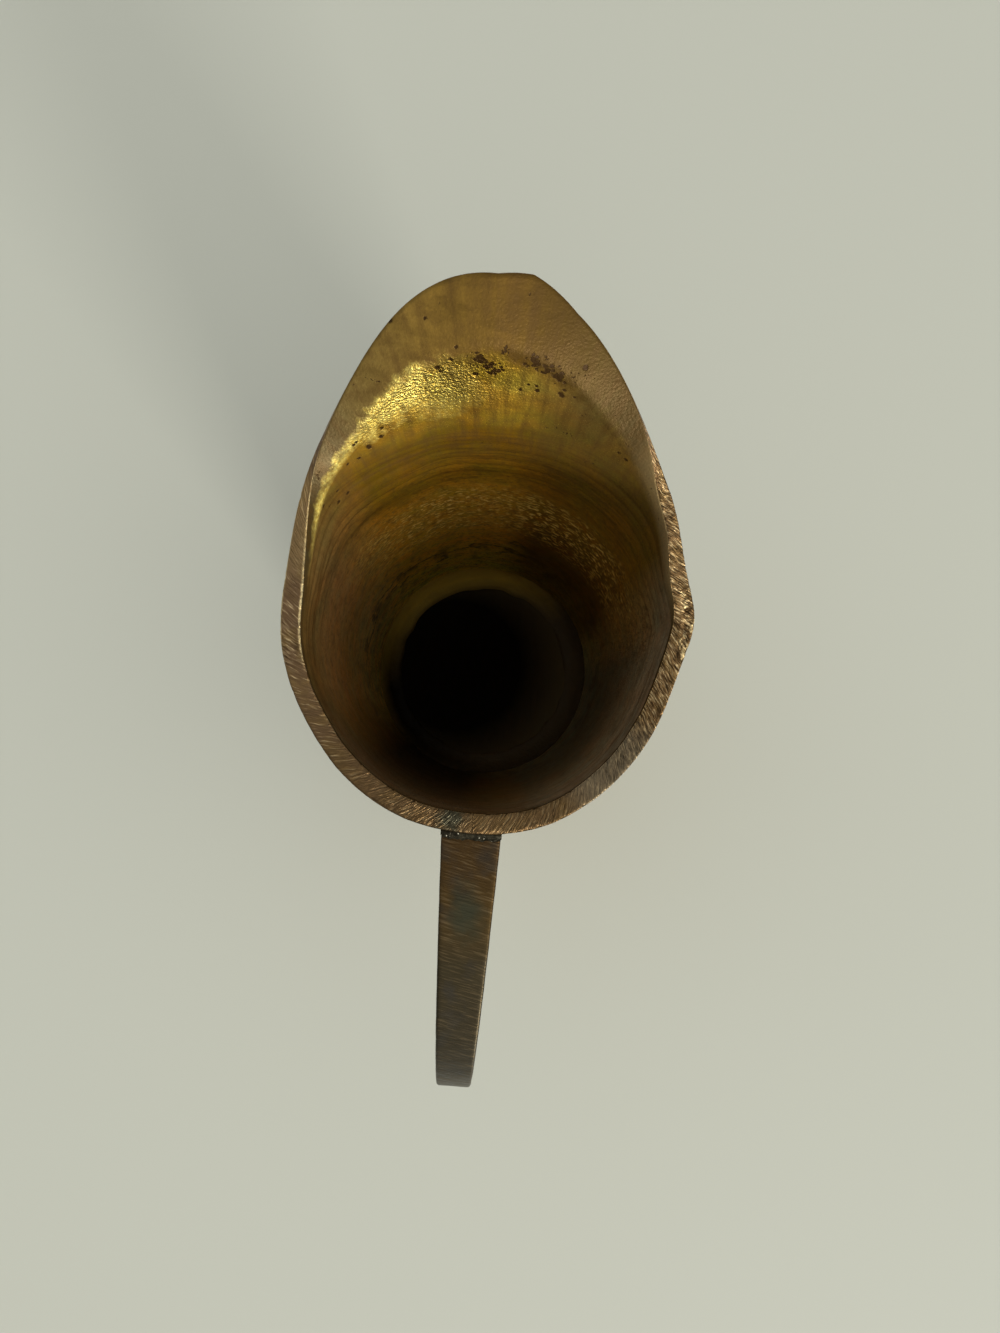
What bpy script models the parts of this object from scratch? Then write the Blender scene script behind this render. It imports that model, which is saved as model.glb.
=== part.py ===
"""Brass bud vase: a thick-walled tube, pulled out into a spout on one side, with a strap handle.

Metres, +Z up. The origin is the centre of the underside. The spout points along +Y and the
handle along -Y. An azimuth is an angle seen from above, from +Y towards +X.
"""

import math

import bmesh
import bpy

# Tube
MOUTH_RADIUS = 0.0302
BASE_RADIUS = 0.0289
FRONT_HEIGHT = 0.115
WALL = 0.003

# Spout: towards +Y the rim rises, leans out gently, then flares past a bend, and is hammered thin
SPOUT_RISE = 0.0242
SPOUT_REACH = 0.0120
SPOUT_ROOT_DEPTH = 0.014
SPOUT_LEAN_SHARE = 0.55
SPOUT_LEAN_CURVE = 2.8
SPOUT_FLARE_DROP = 0.0046
SPOUT_FLARE_CURVE = 1.3
SPOUT_TURN = math.radians(-3.5)
SPOUT_SPREAD = math.radians(40.2)
SPOUT_ROUNDNESS = 1.86
SPOUT_EDGE_WALL = 0.0009
THIN_EDGE_FROM = math.radians(80)
THIN_EDGE_FULL = math.radians(40)

# Hammered places at the mouth: azimuth, spread, and how far the wall is pushed in
HOLLOWS = (
    (math.radians(107), math.radians(38), 0.00125),
    (math.radians(84), math.radians(11), -0.0012),
    (math.radians(55), math.radians(15), -0.0005),
    (math.radians(-18), math.radians(9), -0.0004),
    (math.radians(-54), math.radians(13), -0.0005),
    (math.radians(-82), math.radians(16), 0.0004),
    (math.radians(-122), math.radians(20), 0.0005),
    (math.radians(-160), math.radians(18), -0.0003),
    (math.radians(160), math.radians(18), -0.0004),
)

# A small corner in the lip's edge, left by a blow of the hammer
LIP_CORNER_AT = math.radians(5.5)
LIP_CORNER_SPREAD = math.radians(6)
LIP_CORNER_OUT = 0.0008

# Floor, and the solder in its corner
FLOOR_THICKNESS = 0.003
FLOOR_SOLDER_WIDTH = 0.0048
FLOOR_SOLDER_HEIGHT = 0.0050

# Strap handle
STRAP_THICKNESS = 0.0024
STRAP_ROOT_WIDTH = 0.0088
STRAP_BEND_WIDTH = 0.0054
STRAP_FOOT_WIDTH = 0.0054
STRAP_EDGE_ROUND = 0.0004
STRAP_DROP = 0.0012
HANDLE_STANDOFF = 0.0454
HANDLE_BEND_DROP = 0.034
HANDLE_LAP = 0.009
HANDLE_FOOT_HEIGHT = 0.014

# How fully the handle's curves swell, each as a share of its own stretch
SHOULDER_OUT = 0.68
SHOULDER_FALL = 0.62
SWEEP_FALL = 0.42
SWEEP_LANDING = 0.36

# Solder at the strap's two ends
BEAD_WIDTH = 0.0016
BEAD_HEIGHT = 0.0008
FILLET_RUN = 0.0042
FILLET_DROP = 0.0045
NOTCH_OPENING = 0.0024
TOE_DROP = 0.0026

FIT_GAP = 0.0003

# How finely the round shapes are cut
SIDES = 72
PLAIN_ROWS = 7
LEAN_ROWS = 10
FLARE_ROWS = 5
STRAP_ROWS = 34
STRAP_COLUMNS = 3
STRAP_EDGE_STEPS = 2
ARC_STEPS = 5
NOTCH_STEPS = 40
MERGE_WITHIN = 0.00005
SHARP_FROM = math.radians(40)

# Where along the handle's path each stretch ends, as a share of its rows
BEND_SHARE = 0.5
LAP_SHARE = 0.92


def clear_scene():
    for old in list(bpy.data.objects):
        bpy.data.objects.remove(old, do_unlink=True)


def make_collection(name):
    collection = bpy.data.collections.new(name)
    bpy.context.scene.collection.children.link(collection)
    return collection


def make_material(name, colour, roughness):
    material = bpy.data.materials.new(name)
    material.use_nodes = True
    shader = material.node_tree.nodes["Principled BSDF"]
    shader.inputs["Base Color"].default_value = (*colour, 1.0)
    shader.inputs["Roughness"].default_value = roughness
    shader.inputs["Metallic"].default_value = 1.0
    return material


def ease(value):
    """A smooth step from 0 to 1."""
    held = min(1.0, max(0.0, value))
    return held * held * (3.0 - 2.0 * held)


def turn_between(azimuth, centre):
    """The angle between two azimuths, from 0 to half a turn."""
    return abs(math.remainder(azimuth - centre, math.tau))


def tube_radius(height):
    """The plain tube's outer radius, straight at both ends."""
    return BASE_RADIUS + (MOUTH_RADIUS - BASE_RADIUS) * ease(height / FRONT_HEIGHT)


def handle_wall(height):
    """How far the wall's outside is from the axis where the handle meets it, on -Y."""
    return tube_radius(height) - hollow_depth(math.pi) * ease(height / FRONT_HEIGHT)


def spout_share(azimuth):
    """1 at the spout's tip, falling to 0 round the sides."""
    away = turn_between(azimuth, SPOUT_TURN) / SPOUT_SPREAD
    return math.exp(-(away**SPOUT_ROUNDNESS))


def hollow_depth(azimuth):
    return sum(
        depth * math.exp(-((turn_between(azimuth, centre) / spread) ** 2))
        for centre, spread, depth in HOLLOWS
    )


def spout_root_height():
    return FRONT_HEIGHT - SPOUT_ROOT_DEPTH


def bend_climb():
    """The climb at which the spout's wall turns out into the flare."""
    return 1.0 - SPOUT_FLARE_DROP / (SPOUT_ROOT_DEPTH + SPOUT_RISE)


def wall_climb(row):
    """0 up to the spout's root, and 1 at the rim, with a row on the bend."""
    above_root = row - PLAIN_ROWS
    bend = bend_climb()
    if above_root <= LEAN_ROWS:
        return max(0.0, bend * above_root / LEAN_ROWS)
    return bend + (1.0 - bend) * (above_root - LEAN_ROWS) / FLARE_ROWS


def wall_height(azimuth, row):
    """Rows are spread evenly up to the spout's root, then by their climb to the rim."""
    if row <= PLAIN_ROWS:
        return spout_root_height() * row / PLAIN_ROWS
    return spout_root_height() + wall_climb(row) * (SPOUT_ROOT_DEPTH + SPOUT_RISE * spout_share(azimuth))


def flare_share(climb):
    """0 up to the bend, 1 at the rim."""
    bend = bend_climb()
    return max(0.0, (climb - bend) / (1.0 - bend))


def spout_lean(climb):
    """How much of the spout's reach is made by this climb: a gentle lean, then the flare."""
    lean = SPOUT_LEAN_SHARE * climb**SPOUT_LEAN_CURVE
    return lean + (1.0 - SPOUT_LEAN_SHARE) * flare_share(climb)**SPOUT_FLARE_CURVE


def lip_corner(azimuth):
    """How far the lip's corner stands out past the plain lip."""
    return LIP_CORNER_OUT * math.exp(-((turn_between(azimuth, LIP_CORNER_AT) / LIP_CORNER_SPREAD) ** 2))


def wall_point(azimuth, row):
    """A point of the body's outer surface."""
    height = wall_height(azimuth, row)
    climb = wall_climb(row)
    pushed_in = hollow_depth(azimuth) * ease(height / FRONT_HEIGHT)
    pulled_out = SPOUT_REACH * spout_share(azimuth) * spout_lean(climb)
    pulled_out += lip_corner(azimuth) * flare_share(climb)
    radius = tube_radius(height) - pushed_in + pulled_out
    return radius * math.sin(azimuth), radius * math.cos(azimuth), height


def wall_thickness(azimuth, row):
    thinning = (THIN_EDGE_FROM - turn_between(azimuth, SPOUT_TURN)) / (THIN_EDGE_FROM - THIN_EDGE_FULL)
    return WALL + (SPOUT_EDGE_WALL - WALL) * ease(thinning) * ease(wall_climb(row))


def turned_mesh(name, profile, closed):
    """A profile in the XZ plane, turned about Z by a Screw modifier."""
    shape = bmesh.new()
    points = [shape.verts.new((x, 0.0, z)) for x, z in profile]
    for first, second in zip(points, points[1:]):
        shape.edges.new((first, second))
    if closed:
        shape.edges.new((points[-1], points[0]))
    mesh = bpy.data.meshes.new(name)
    shape.to_mesh(mesh)
    shape.free()
    guide = bpy.data.objects.new(name, mesh)
    bpy.context.scene.collection.objects.link(guide)
    screw = guide.modifiers.new("turn", "SCREW")
    screw.steps = SIDES
    screw.render_steps = SIDES
    screw.use_merge_vertices = True
    screw.merge_threshold = MERGE_WITHIN
    bpy.context.view_layer.update()
    graph = bpy.context.evaluated_depsgraph_get()
    turned = bpy.data.meshes.new_from_object(guide.evaluated_get(graph))
    bpy.data.objects.remove(guide, do_unlink=True)
    bpy.data.meshes.remove(mesh)
    turned.name = name
    return turned


def finish_part(part, collection, material):
    part.data.materials.clear()
    part.data.materials.append(material)
    if part.type == "MESH":
        part.data.shade_smooth()
        part.data.set_sharp_from_angle(angle=SHARP_FROM)
    collection.objects.link(part)
    return part


def make_body_shell(collection, material):
    """An open tube, shaped row by row, then thickened inwards."""
    rows = PLAIN_ROWS + LEAN_ROWS + FLARE_ROWS
    profile = [(1.0, float(rows - row)) for row in range(rows + 1)]
    sheet = turned_mesh("body_shell", profile, closed=False)
    shell = bpy.data.objects.new("body_shell", sheet)
    thickness = shell.vertex_groups.new(name="thickness")
    for vertex in sheet.vertices:
        azimuth = math.atan2(vertex.co.x, vertex.co.y)
        row = round(vertex.co.z)
        thickness.add([vertex.index], wall_thickness(azimuth, row) / WALL, "REPLACE")
        vertex.co = wall_point(azimuth, row)
    wall = shell.modifiers.new("wall", "SOLIDIFY")
    wall.thickness = WALL
    wall.offset = -1.0
    wall.vertex_group = "thickness"
    wall.thickness_vertex_group = 0.0
    return finish_part(shell, collection, material)


def floor_radius():
    return BASE_RADIUS - WALL - FIT_GAP


def make_floor_disc(collection, material):
    """A disc set inside the tube, flush with its lower edge."""
    shape = bmesh.new()
    bmesh.ops.create_cone(
        shape,
        cap_ends=True,
        segments=SIDES,
        radius1=floor_radius(),
        radius2=floor_radius(),
        depth=FLOOR_THICKNESS,
    )
    bmesh.ops.translate(shape, verts=shape.verts, vec=(0.0, 0.0, FLOOR_THICKNESS / 2))
    mesh = bpy.data.meshes.new("floor_disc")
    shape.to_mesh(mesh)
    shape.free()
    disc = bpy.data.objects.new("floor_disc", mesh)
    return finish_part(disc, collection, material)


def fillet_outline(out, up):
    """A corner at the origin, filled along +X by out and along Y by up, with a hollow face."""
    face = []
    for step in range(ARC_STEPS + 1):
        angle = math.radians(90) * step / ARC_STEPS
        face.append((out * (1.0 - math.sin(angle)), up * (1.0 - math.cos(angle))))
    return [(0.0, 0.0), *face]


def make_floor_solder_ring(collection, material):
    """A hollow fillet of solder, run round the inside corner on top of the floor."""
    outline = fillet_outline(FLOOR_SOLDER_WIDTH, FLOOR_SOLDER_HEIGHT)
    base = FLOOR_THICKNESS + FIT_GAP
    profile = [(floor_radius() - inward, base + up) for inward, up in outline]
    ring = bpy.data.objects.new(
        "floor_solder_ring", turned_mesh("floor_solder_ring", profile, closed=True)
    )
    return finish_part(ring, collection, material)


def bezier(start, leave, arrive, end, share):
    """A point of a cubic curve."""
    rest = 1.0 - share
    weights = (rest**3, 3 * rest**2 * share, 3 * rest * share**2, share**3)
    points = (start, leave, arrive, end)
    return tuple(sum(w * p[axis] for w, p in zip(weights, points)) for axis in (0, 1))


def strap_root():
    """The strap's upper end, on its middle line: reach from the axis, and height."""
    height = FRONT_HEIGHT - STRAP_DROP - STRAP_THICKNESS / 2
    return handle_wall(height) + FIT_GAP, height


def strap_bend():
    """The middle line's furthest point from the axis."""
    return MOUTH_RADIUS + HANDLE_STANDOFF - STRAP_THICKNESS / 2, FRONT_HEIGHT - HANDLE_BEND_DROP


def strap_landing():
    """Where the strap meets the wall again, and starts to lie along it."""
    height = HANDLE_FOOT_HEIGHT + HANDLE_LAP
    return handle_wall(height) + FIT_GAP + STRAP_THICKNESS / 2, height


def strap_centre(share):
    """The strap's middle line: an arched shoulder, a sweep back in, and a straight lap."""
    root, bend, landing = strap_root(), strap_bend(), strap_landing()
    if share <= BEND_SHARE:
        leave = (root[0] + SHOULDER_OUT * (bend[0] - root[0]), root[1])
        arrive = (bend[0], bend[1] + SHOULDER_FALL * (root[1] - bend[1]))
        return bezier(root, leave, arrive, bend, share / BEND_SHARE)
    if share <= LAP_SHARE:
        fall = bend[1] - landing[1]
        leave = (bend[0], bend[1] - SWEEP_FALL * fall)
        arrive = (landing[0], landing[1] + SWEEP_LANDING * fall)
        return bezier(bend, leave, arrive, landing, (share - BEND_SHARE) / (LAP_SHARE - BEND_SHARE))
    down = (share - LAP_SHARE) / (1.0 - LAP_SHARE)
    return landing[0], landing[1] - down * HANDLE_LAP


def strap_width(share):
    """Narrows evenly with its reach over the shoulder, then evenly down to the foot."""
    if share <= BEND_SHARE:
        start, end = STRAP_ROOT_WIDTH, STRAP_BEND_WIDTH
        root_reach = strap_root()[0]
        done = (strap_centre(share)[0] - root_reach) / (strap_bend()[0] - root_reach)
    else:
        start, end = STRAP_BEND_WIDTH, STRAP_FOOT_WIDTH
        done = (share - BEND_SHARE) / (1.0 - BEND_SHARE)
    return start + (end - start) * done


def make_strap_handle(collection, material):
    """A flat sheet bent along the path, then thickened, with its long edges eased."""
    shape = bmesh.new()
    bmesh.ops.create_grid(shape, x_segments=STRAP_COLUMNS, y_segments=STRAP_ROWS, size=0.5)
    for vertex in shape.verts:
        share = vertex.co.y + 0.5
        across = vertex.co.x * strap_width(share)
        reach, height = strap_centre(share)
        vertex.co = (across, -reach, height)
    mesh = bpy.data.meshes.new("strap_handle")
    shape.to_mesh(mesh)
    shape.free()
    strap = bpy.data.objects.new("strap_handle", mesh)
    sheet = strap.modifiers.new("sheet", "SOLIDIFY")
    sheet.thickness = STRAP_THICKNESS
    sheet.offset = 0.0
    edges = strap.modifiers.new("edges", "BEVEL")
    edges.width = STRAP_EDGE_ROUND
    edges.segments = STRAP_EDGE_STEPS
    edges.limit_method = "ANGLE"
    edges.angle_limit = SHARP_FROM
    return finish_part(strap, collection, material)


def make_solder_run(name, outline, width, collection, material):
    """A flat outline of reach and height, as wide as given across the strap."""
    curve = bpy.data.curves.new(name, "CURVE")
    curve.dimensions = "2D"
    curve.fill_mode = "BOTH"
    curve.extrude = width / 2
    spline = curve.splines.new("POLY")
    spline.points.add(len(outline) - 1)
    for point, (reach, height) in zip(spline.points, outline):
        point.co = (reach, height, 0.0, 1.0)
    spline.use_cyclic_u = True
    run = bpy.data.objects.new(name, curve)
    run.rotation_euler = (math.radians(90), 0.0, math.radians(-90))
    return finish_part(run, collection, material)


def make_rim_solder_bead(collection, material):
    """The seam that shows from above, between the rim and the strap's upper face."""
    root_reach, root_height = strap_root()
    top = root_height + STRAP_THICKNESS / 2 + FIT_GAP
    outline = [(root_reach + out, top + up) for out, up in fillet_outline(BEAD_WIDTH, BEAD_HEIGHT)]
    return make_solder_run("rim_solder_bead", outline, STRAP_ROOT_WIDTH, collection, material)


def make_upper_solder_fillet(collection, material):
    """The fillet under the strap's upper end."""
    root_reach, root_height = strap_root()
    under = root_height - STRAP_THICKNESS / 2 - FIT_GAP
    outline = [(root_reach + out, under - down) for out, down in fillet_outline(FILLET_RUN, FILLET_DROP)]
    return make_solder_run("upper_solder_fillet", outline, STRAP_ROOT_WIDTH, collection, material)


def notch_outline():
    """Points up the strap's inner face, and back down the wall, until the notch is wide open."""
    strap_side, wall_side = [], []
    step = (LAP_SHARE - BEND_SHARE) / NOTCH_STEPS
    share = LAP_SHARE
    while share > BEND_SHARE:
        share -= step
        reach, height = strap_centre(share)
        ahead_reach, ahead_height = strap_centre(share + step)
        slope = math.hypot(reach - ahead_reach, height - ahead_height)
        normal = ((height - ahead_height) / slope, (ahead_reach - reach) / slope)
        inset = STRAP_THICKNESS / 2 + FIT_GAP
        face = (reach - normal[0] * inset, height - normal[1] * inset)
        wall = handle_wall(face[1]) + FIT_GAP
        if face[0] - wall < FIT_GAP:
            continue
        strap_side.append(face)
        wall_side.append((wall, face[1]))
        if face[0] - wall > NOTCH_OPENING:
            break
    return strap_side + wall_side[::-1]


def make_lower_solder_fillet(collection, material):
    """The wedge in the notch above where the strap lands on the wall."""
    return make_solder_run("lower_solder_fillet", notch_outline(), STRAP_FOOT_WIDTH, collection, material)


def make_toe_solder_bead(collection, material):
    """The bead below the strap's lower end."""
    top = HANDLE_FOOT_HEIGHT - FIT_GAP
    reach = handle_wall(top) + FIT_GAP
    outline = [(reach + out, top - down) for out, down in fillet_outline(STRAP_THICKNESS, TOE_DROP)]
    return make_solder_run("toe_solder_bead", outline, STRAP_FOOT_WIDTH, collection, material)


def build_vase():
    clear_scene()
    vase = make_collection("brass_bud_vase")
    tube_brass = make_material("tube_brass", (0.33, 0.20, 0.06), 0.38)
    strap_brass = make_material("strap_brass", (0.10, 0.07, 0.035), 0.45)
    solder = make_material("aged_solder", (0.07, 0.08, 0.06), 0.5)
    make_body_shell(vase, tube_brass)
    make_floor_disc(vase, tube_brass)
    make_floor_solder_ring(vase, solder)
    make_strap_handle(vase, strap_brass)
    make_rim_solder_bead(vase, solder)
    make_upper_solder_fillet(vase, solder)
    make_lower_solder_fillet(vase, solder)
    make_toe_solder_bead(vase, solder)


build_vase()
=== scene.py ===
"""Looks of the brass bud vase: its hand-worked surfaces, finishes, light and camera.

Metres, +Z up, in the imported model's frame: the spout points along +Y and the handle along -Y.
An azimuth is an angle seen from above, from +Y towards +X.
"""

import math

import bpy
import numpy as np
from mathutils import Matrix, Vector


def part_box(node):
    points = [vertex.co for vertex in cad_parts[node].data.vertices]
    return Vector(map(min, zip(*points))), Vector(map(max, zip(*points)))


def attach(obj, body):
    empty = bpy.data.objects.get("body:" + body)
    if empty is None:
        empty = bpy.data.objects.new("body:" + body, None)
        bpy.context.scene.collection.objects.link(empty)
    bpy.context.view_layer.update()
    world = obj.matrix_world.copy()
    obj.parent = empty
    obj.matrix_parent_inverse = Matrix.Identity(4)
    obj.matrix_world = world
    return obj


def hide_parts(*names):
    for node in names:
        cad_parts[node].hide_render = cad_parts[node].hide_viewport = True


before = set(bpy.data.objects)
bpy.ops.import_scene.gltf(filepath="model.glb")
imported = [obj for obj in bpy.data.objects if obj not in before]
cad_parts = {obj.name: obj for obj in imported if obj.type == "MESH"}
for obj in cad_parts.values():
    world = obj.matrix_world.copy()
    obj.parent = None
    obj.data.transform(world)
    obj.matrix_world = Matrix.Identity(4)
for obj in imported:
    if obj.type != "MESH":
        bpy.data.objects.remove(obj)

MM = 0.001

# Tube and spout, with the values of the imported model
MOUTH_RADIUS = 0.0302
BASE_RADIUS = 0.0289
FRONT_HEIGHT = 0.115
WALL = 0.003
SPOUT_RISE = 0.0242
SPOUT_REACH = 0.0120
SPOUT_ROOT_DEPTH = 0.014
SPOUT_LEAN_SHARE = 0.55
SPOUT_LEAN_CURVE = 2.8
SPOUT_FLARE_DROP = 0.0046
SPOUT_FLARE_CURVE = 1.3
SPOUT_TURN = math.radians(-3.5)
SPOUT_SPREAD = math.radians(40.2)
SPOUT_ROUNDNESS = 1.86
SPOUT_EDGE_WALL = 0.0009
THIN_EDGE_FROM = math.radians(80)
THIN_EDGE_FULL = math.radians(40)
# Hollows in the tube: azimuth and spread in degrees, and depth, which swells it where it is negative
HOLLOWS = (
    (107, 38, 0.00125),
    (84, 11, -0.0012),
    (55, 15, -0.0005),
    (-18, 9, -0.0004),
    (-54, 13, -0.0005),
    (-82, 16, 0.0004),
    (-122, 20, 0.0005),
    (-160, 18, -0.0003),
    (160, 18, -0.0004),
)
ROOT_HEIGHT = FRONT_HEIGHT - SPOUT_ROOT_DEPTH
BEND_CLIMB = 1.0 - SPOUT_FLARE_DROP / (SPOUT_ROOT_DEPTH + SPOUT_RISE)

# Floor and its solder
FLOOR_THICKNESS = 0.003
FLOOR_SOLDER_WIDTH = 0.0048
FLOOR_SOLDER_HEIGHT = 0.0050
FIT_GAP = 0.0003

# Strap handle
STRAP_THICKNESS = 0.0024
STRAP_ROOT_WIDTH = 0.0088
STRAP_BEND_WIDTH = 0.0054
STRAP_FOOT_WIDTH = 0.0054
STRAP_DROP = 0.0012
HANDLE_STANDOFF = 0.0454
HANDLE_BEND_DROP = 0.034
HANDLE_LAP = 0.009
HANDLE_FOOT_HEIGHT = 0.014
SHOULDER_OUT = 0.68
SHOULDER_FALL = 0.62
SWEEP_FALL = 0.42
SWEEP_LANDING = 0.36
BEND_SHARE = 0.5
LAP_SHARE = 0.92

# How finely the body is cut: columns round it, and rows up it, across the rim and below
COLUMNS = 960
LOW_ROWS = 36
CLIMB_ROWS = 110
OUTER_EVERY = 2
RIM_ROWS = 16
SOLE_ROWS = 4

# Camera: a phone held over the mouth, leaning a little, turned to the vase
CAMERA_TURN = math.radians(4.0)
CAMERA_PLACE = (-0.0010767, -0.0151903, 0.2606954)
CAMERA_LEAN = math.radians(-1.2292)
CAMERA_TILT = math.radians(3.6334)
CAMERA_LENS = 27.0
CAMERA_SENSOR = 36.0


def ease(value):
    """A smooth step from 0 to 1."""
    held = np.clip(value, 0.0, 1.0)
    return held * held * (3.0 - 2.0 * held)


def turn_between(azimuth, centre):
    """The angle between two azimuths, from 0 to half a turn."""
    return np.abs((azimuth - centre + math.pi) % math.tau - math.pi)


def hump(azimuth, centre, spread):
    """1 at the centre, falling smoothly to 0 on both sides."""
    return np.exp(-((turn_between(azimuth, centre) / spread) ** 2))


def humps(azimuth, places):
    """Humps summed, each an azimuth and a spread in degrees and what it is worth at its middle."""
    return sum(
        worth * hump(azimuth, math.radians(centre), math.radians(spread)) for centre, spread, worth in places
    )


def patches(around, along, count, rows, seed):
    """Random values from -1 to 1 on a grid of patches, smoothly joined, closed on itself round the vase.

    around and along both run from 0 to 1.
    """
    values = np.random.default_rng(seed).uniform(-1.0, 1.0, (count, rows + 2))
    u = (around % 1.0) * count
    v = np.clip(along, 0.0, 1.0) * rows
    column = np.floor(u).astype(int)
    row = np.floor(v).astype(int)
    share_u = ease(u - column)
    share_v = ease(v - row)
    left, right = column % count, (column + 1) % count
    low = values[left, row] * (1.0 - share_u) + values[right, row] * share_u
    high = values[left, row + 1] * (1.0 - share_u) + values[right, row + 1] * share_u
    return low * (1.0 - share_v) + high * share_v


def tube_radius(height):
    return BASE_RADIUS + (MOUTH_RADIUS - BASE_RADIUS) * ease(height / FRONT_HEIGHT)


def spout_share(azimuth):
    away = turn_between(azimuth, SPOUT_TURN) / SPOUT_SPREAD
    return np.exp(-(away**SPOUT_ROUNDNESS))


def hollow_depth(azimuth):
    return humps(azimuth, HOLLOWS)


def flare_share(climb):
    return np.maximum(0.0, (climb - BEND_CLIMB) / (1.0 - BEND_CLIMB))


def spout_lean(climb):
    lean = SPOUT_LEAN_SHARE * climb**SPOUT_LEAN_CURVE
    return lean + (1.0 - SPOUT_LEAN_SHARE) * flare_share(climb)**SPOUT_FLARE_CURVE


# The lip's corner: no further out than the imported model's, but pointed, and steeper on its left, with the
# edge nearly straight beside it
LIP_CORNER_AT = math.radians(3.8)
LIP_CORNER_LEFT = math.radians(6)
LIP_CORNER_RIGHT = math.radians(9)
LIP_CORNER_OUT = 0.00092
LIP_STRAIGHT_AT = math.radians(-2.5)
LIP_STRAIGHT_SPREAD = math.radians(5.5)
LIP_STRAIGHT_CUT = 0.00030


def lip_corner(azimuth):
    spread = np.where(azimuth < LIP_CORNER_AT, LIP_CORNER_LEFT, LIP_CORNER_RIGHT)
    corner = LIP_CORNER_OUT * np.maximum(0.0, 1.0 - turn_between(azimuth, LIP_CORNER_AT) / spread)
    return corner - LIP_STRAIGHT_CUT * hump(azimuth, LIP_STRAIGHT_AT, LIP_STRAIGHT_SPREAD)


def wall_points(azimuth, low, climb):
    """The plain outer wall. low runs from 0 to 1 up to the spout's root, and climb from there to the rim."""
    share = spout_share(azimuth)
    height = ROOT_HEIGHT * low + climb * (SPOUT_ROOT_DEPTH + SPOUT_RISE * share)
    pushed_in = hollow_depth(azimuth) * ease(height / FRONT_HEIGHT)
    pulled_out = SPOUT_REACH * share * spout_lean(climb) + lip_corner(azimuth) * flare_share(climb)
    radius = tube_radius(height) - pushed_in + pulled_out
    return np.stack([radius * np.sin(azimuth), radius * np.cos(azimuth), height], axis=-1)


def wall_thickness(azimuth, climb):
    thinning = (THIN_EDGE_FROM - turn_between(azimuth, SPOUT_TURN)) / (THIN_EDGE_FROM - THIN_EDGE_FULL)
    return WALL + (SPOUT_EDGE_WALL - WALL) * ease(thinning) * ease(climb)


def unit(vectors):
    return vectors / np.maximum(np.linalg.norm(vectors, axis=-1, keepdims=True), 1e-12)


def outward(points):
    """The outward normals of rows of points that close on themselves round the vase, lowest row first."""
    around = np.roll(points, -1, axis=1) - np.roll(points, 1, axis=1)
    up = np.gradient(points, axis=0)
    return unit(np.cross(up, around))


def handle_wall(height):
    return tube_radius(height) - hollow_depth(math.pi) * ease(height / FRONT_HEIGHT)


# Marks on the wall. Heights and depths are in metres.
GROOVE_HEIGHTS = (0.1125, 0.1097, 0.1062, 0.1030, 0.1003)
GROOVE_DEPTH = 0.00013
GROOVE_WIDTH = 0.0007
HAMMER_DEPTH = 0.00022
INSIDE_DENT = 0.00010


def outside_wear(azimuth, height):
    """How far the outer surface lies below the plain wall: planished facets, then fine filing."""
    around = azimuth / math.tau
    up = height / 0.14
    facets = patches(around, up, 34, 26, 11) * 0.5 + 0.5
    fine = patches(around + 0.1 * up, up, 150, 40, 12) * 0.5 + 0.5
    return HAMMER_DEPTH * (0.75 * facets + 0.25 * fine)


# Places where the rim is filed away from the inside: azimuth and spread in degrees, and how far down as a
# share of the climb
BEVELS = (
    (51, 10, 0.060),
    (-62, 12, 0.035),
)


def inside_wear(azimuth, height):
    """How far the inner surface lies outside of the plain one: turned grooves and shallow dents."""
    around = azimuth / math.tau
    wander = 0.0007 * patches(around, height * 0.0, 14, 1, 21)
    back = ease((np.cos(azimuth - math.radians(-8)) + 0.35) / 0.9)
    grooves = sum(np.exp(-(((height + wander - level) / GROOVE_WIDTH) ** 2)) for level in GROOVE_HEIGHTS)
    dents = patches(around, height / 0.14, 60, 44, 22)
    broad = patches(around, height / 0.14, 17, 12, 23)
    return GROOVE_DEPTH * grooves * back + INSIDE_DENT * (0.5 * dents + broad)


# The rim's filed face. Each stretch: azimuth and spread in degrees, and how strong the marks are there
CHISEL_STRETCHES = (
    (48, 12, 0.65),
    (70, 18, 0.55),
    (100, 26, 1.0),
    (130, 16, 0.8),
)
FILE_STRETCHES = (
    (160, 18, 0.55),
    (-166, 12, 0.5),
    (-72, 8, 0.35),
    (-100, 6, 0.5),
)
CHISEL_PITCH = 0.00115
CHISEL_SKEW = 0.9
CHISEL_DEPTH = 0.00020
FILE_PITCH = 0.00080
FILE_SKEW = 1.5
FILE_DEPTH = 0.00010
SCRATCH_DEPTH = 0.00003
EDGE_ROUND = 0.00016
EDGE_REACH = 0.14
BURR_HEIGHT = 0.00016
CHIP_DEPTH = 0.00028
RIM_WANDER = 0.00022


def stretches(azimuth, places):
    return np.clip(humps(azimuth, places), 0.0, 1.0)


def saw(phase):
    """A ridge with one steep side, from 0 to 1."""
    part = phase % 1.0
    return np.where(part < 0.72, part / 0.72, (1.0 - part) / 0.28)


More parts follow.
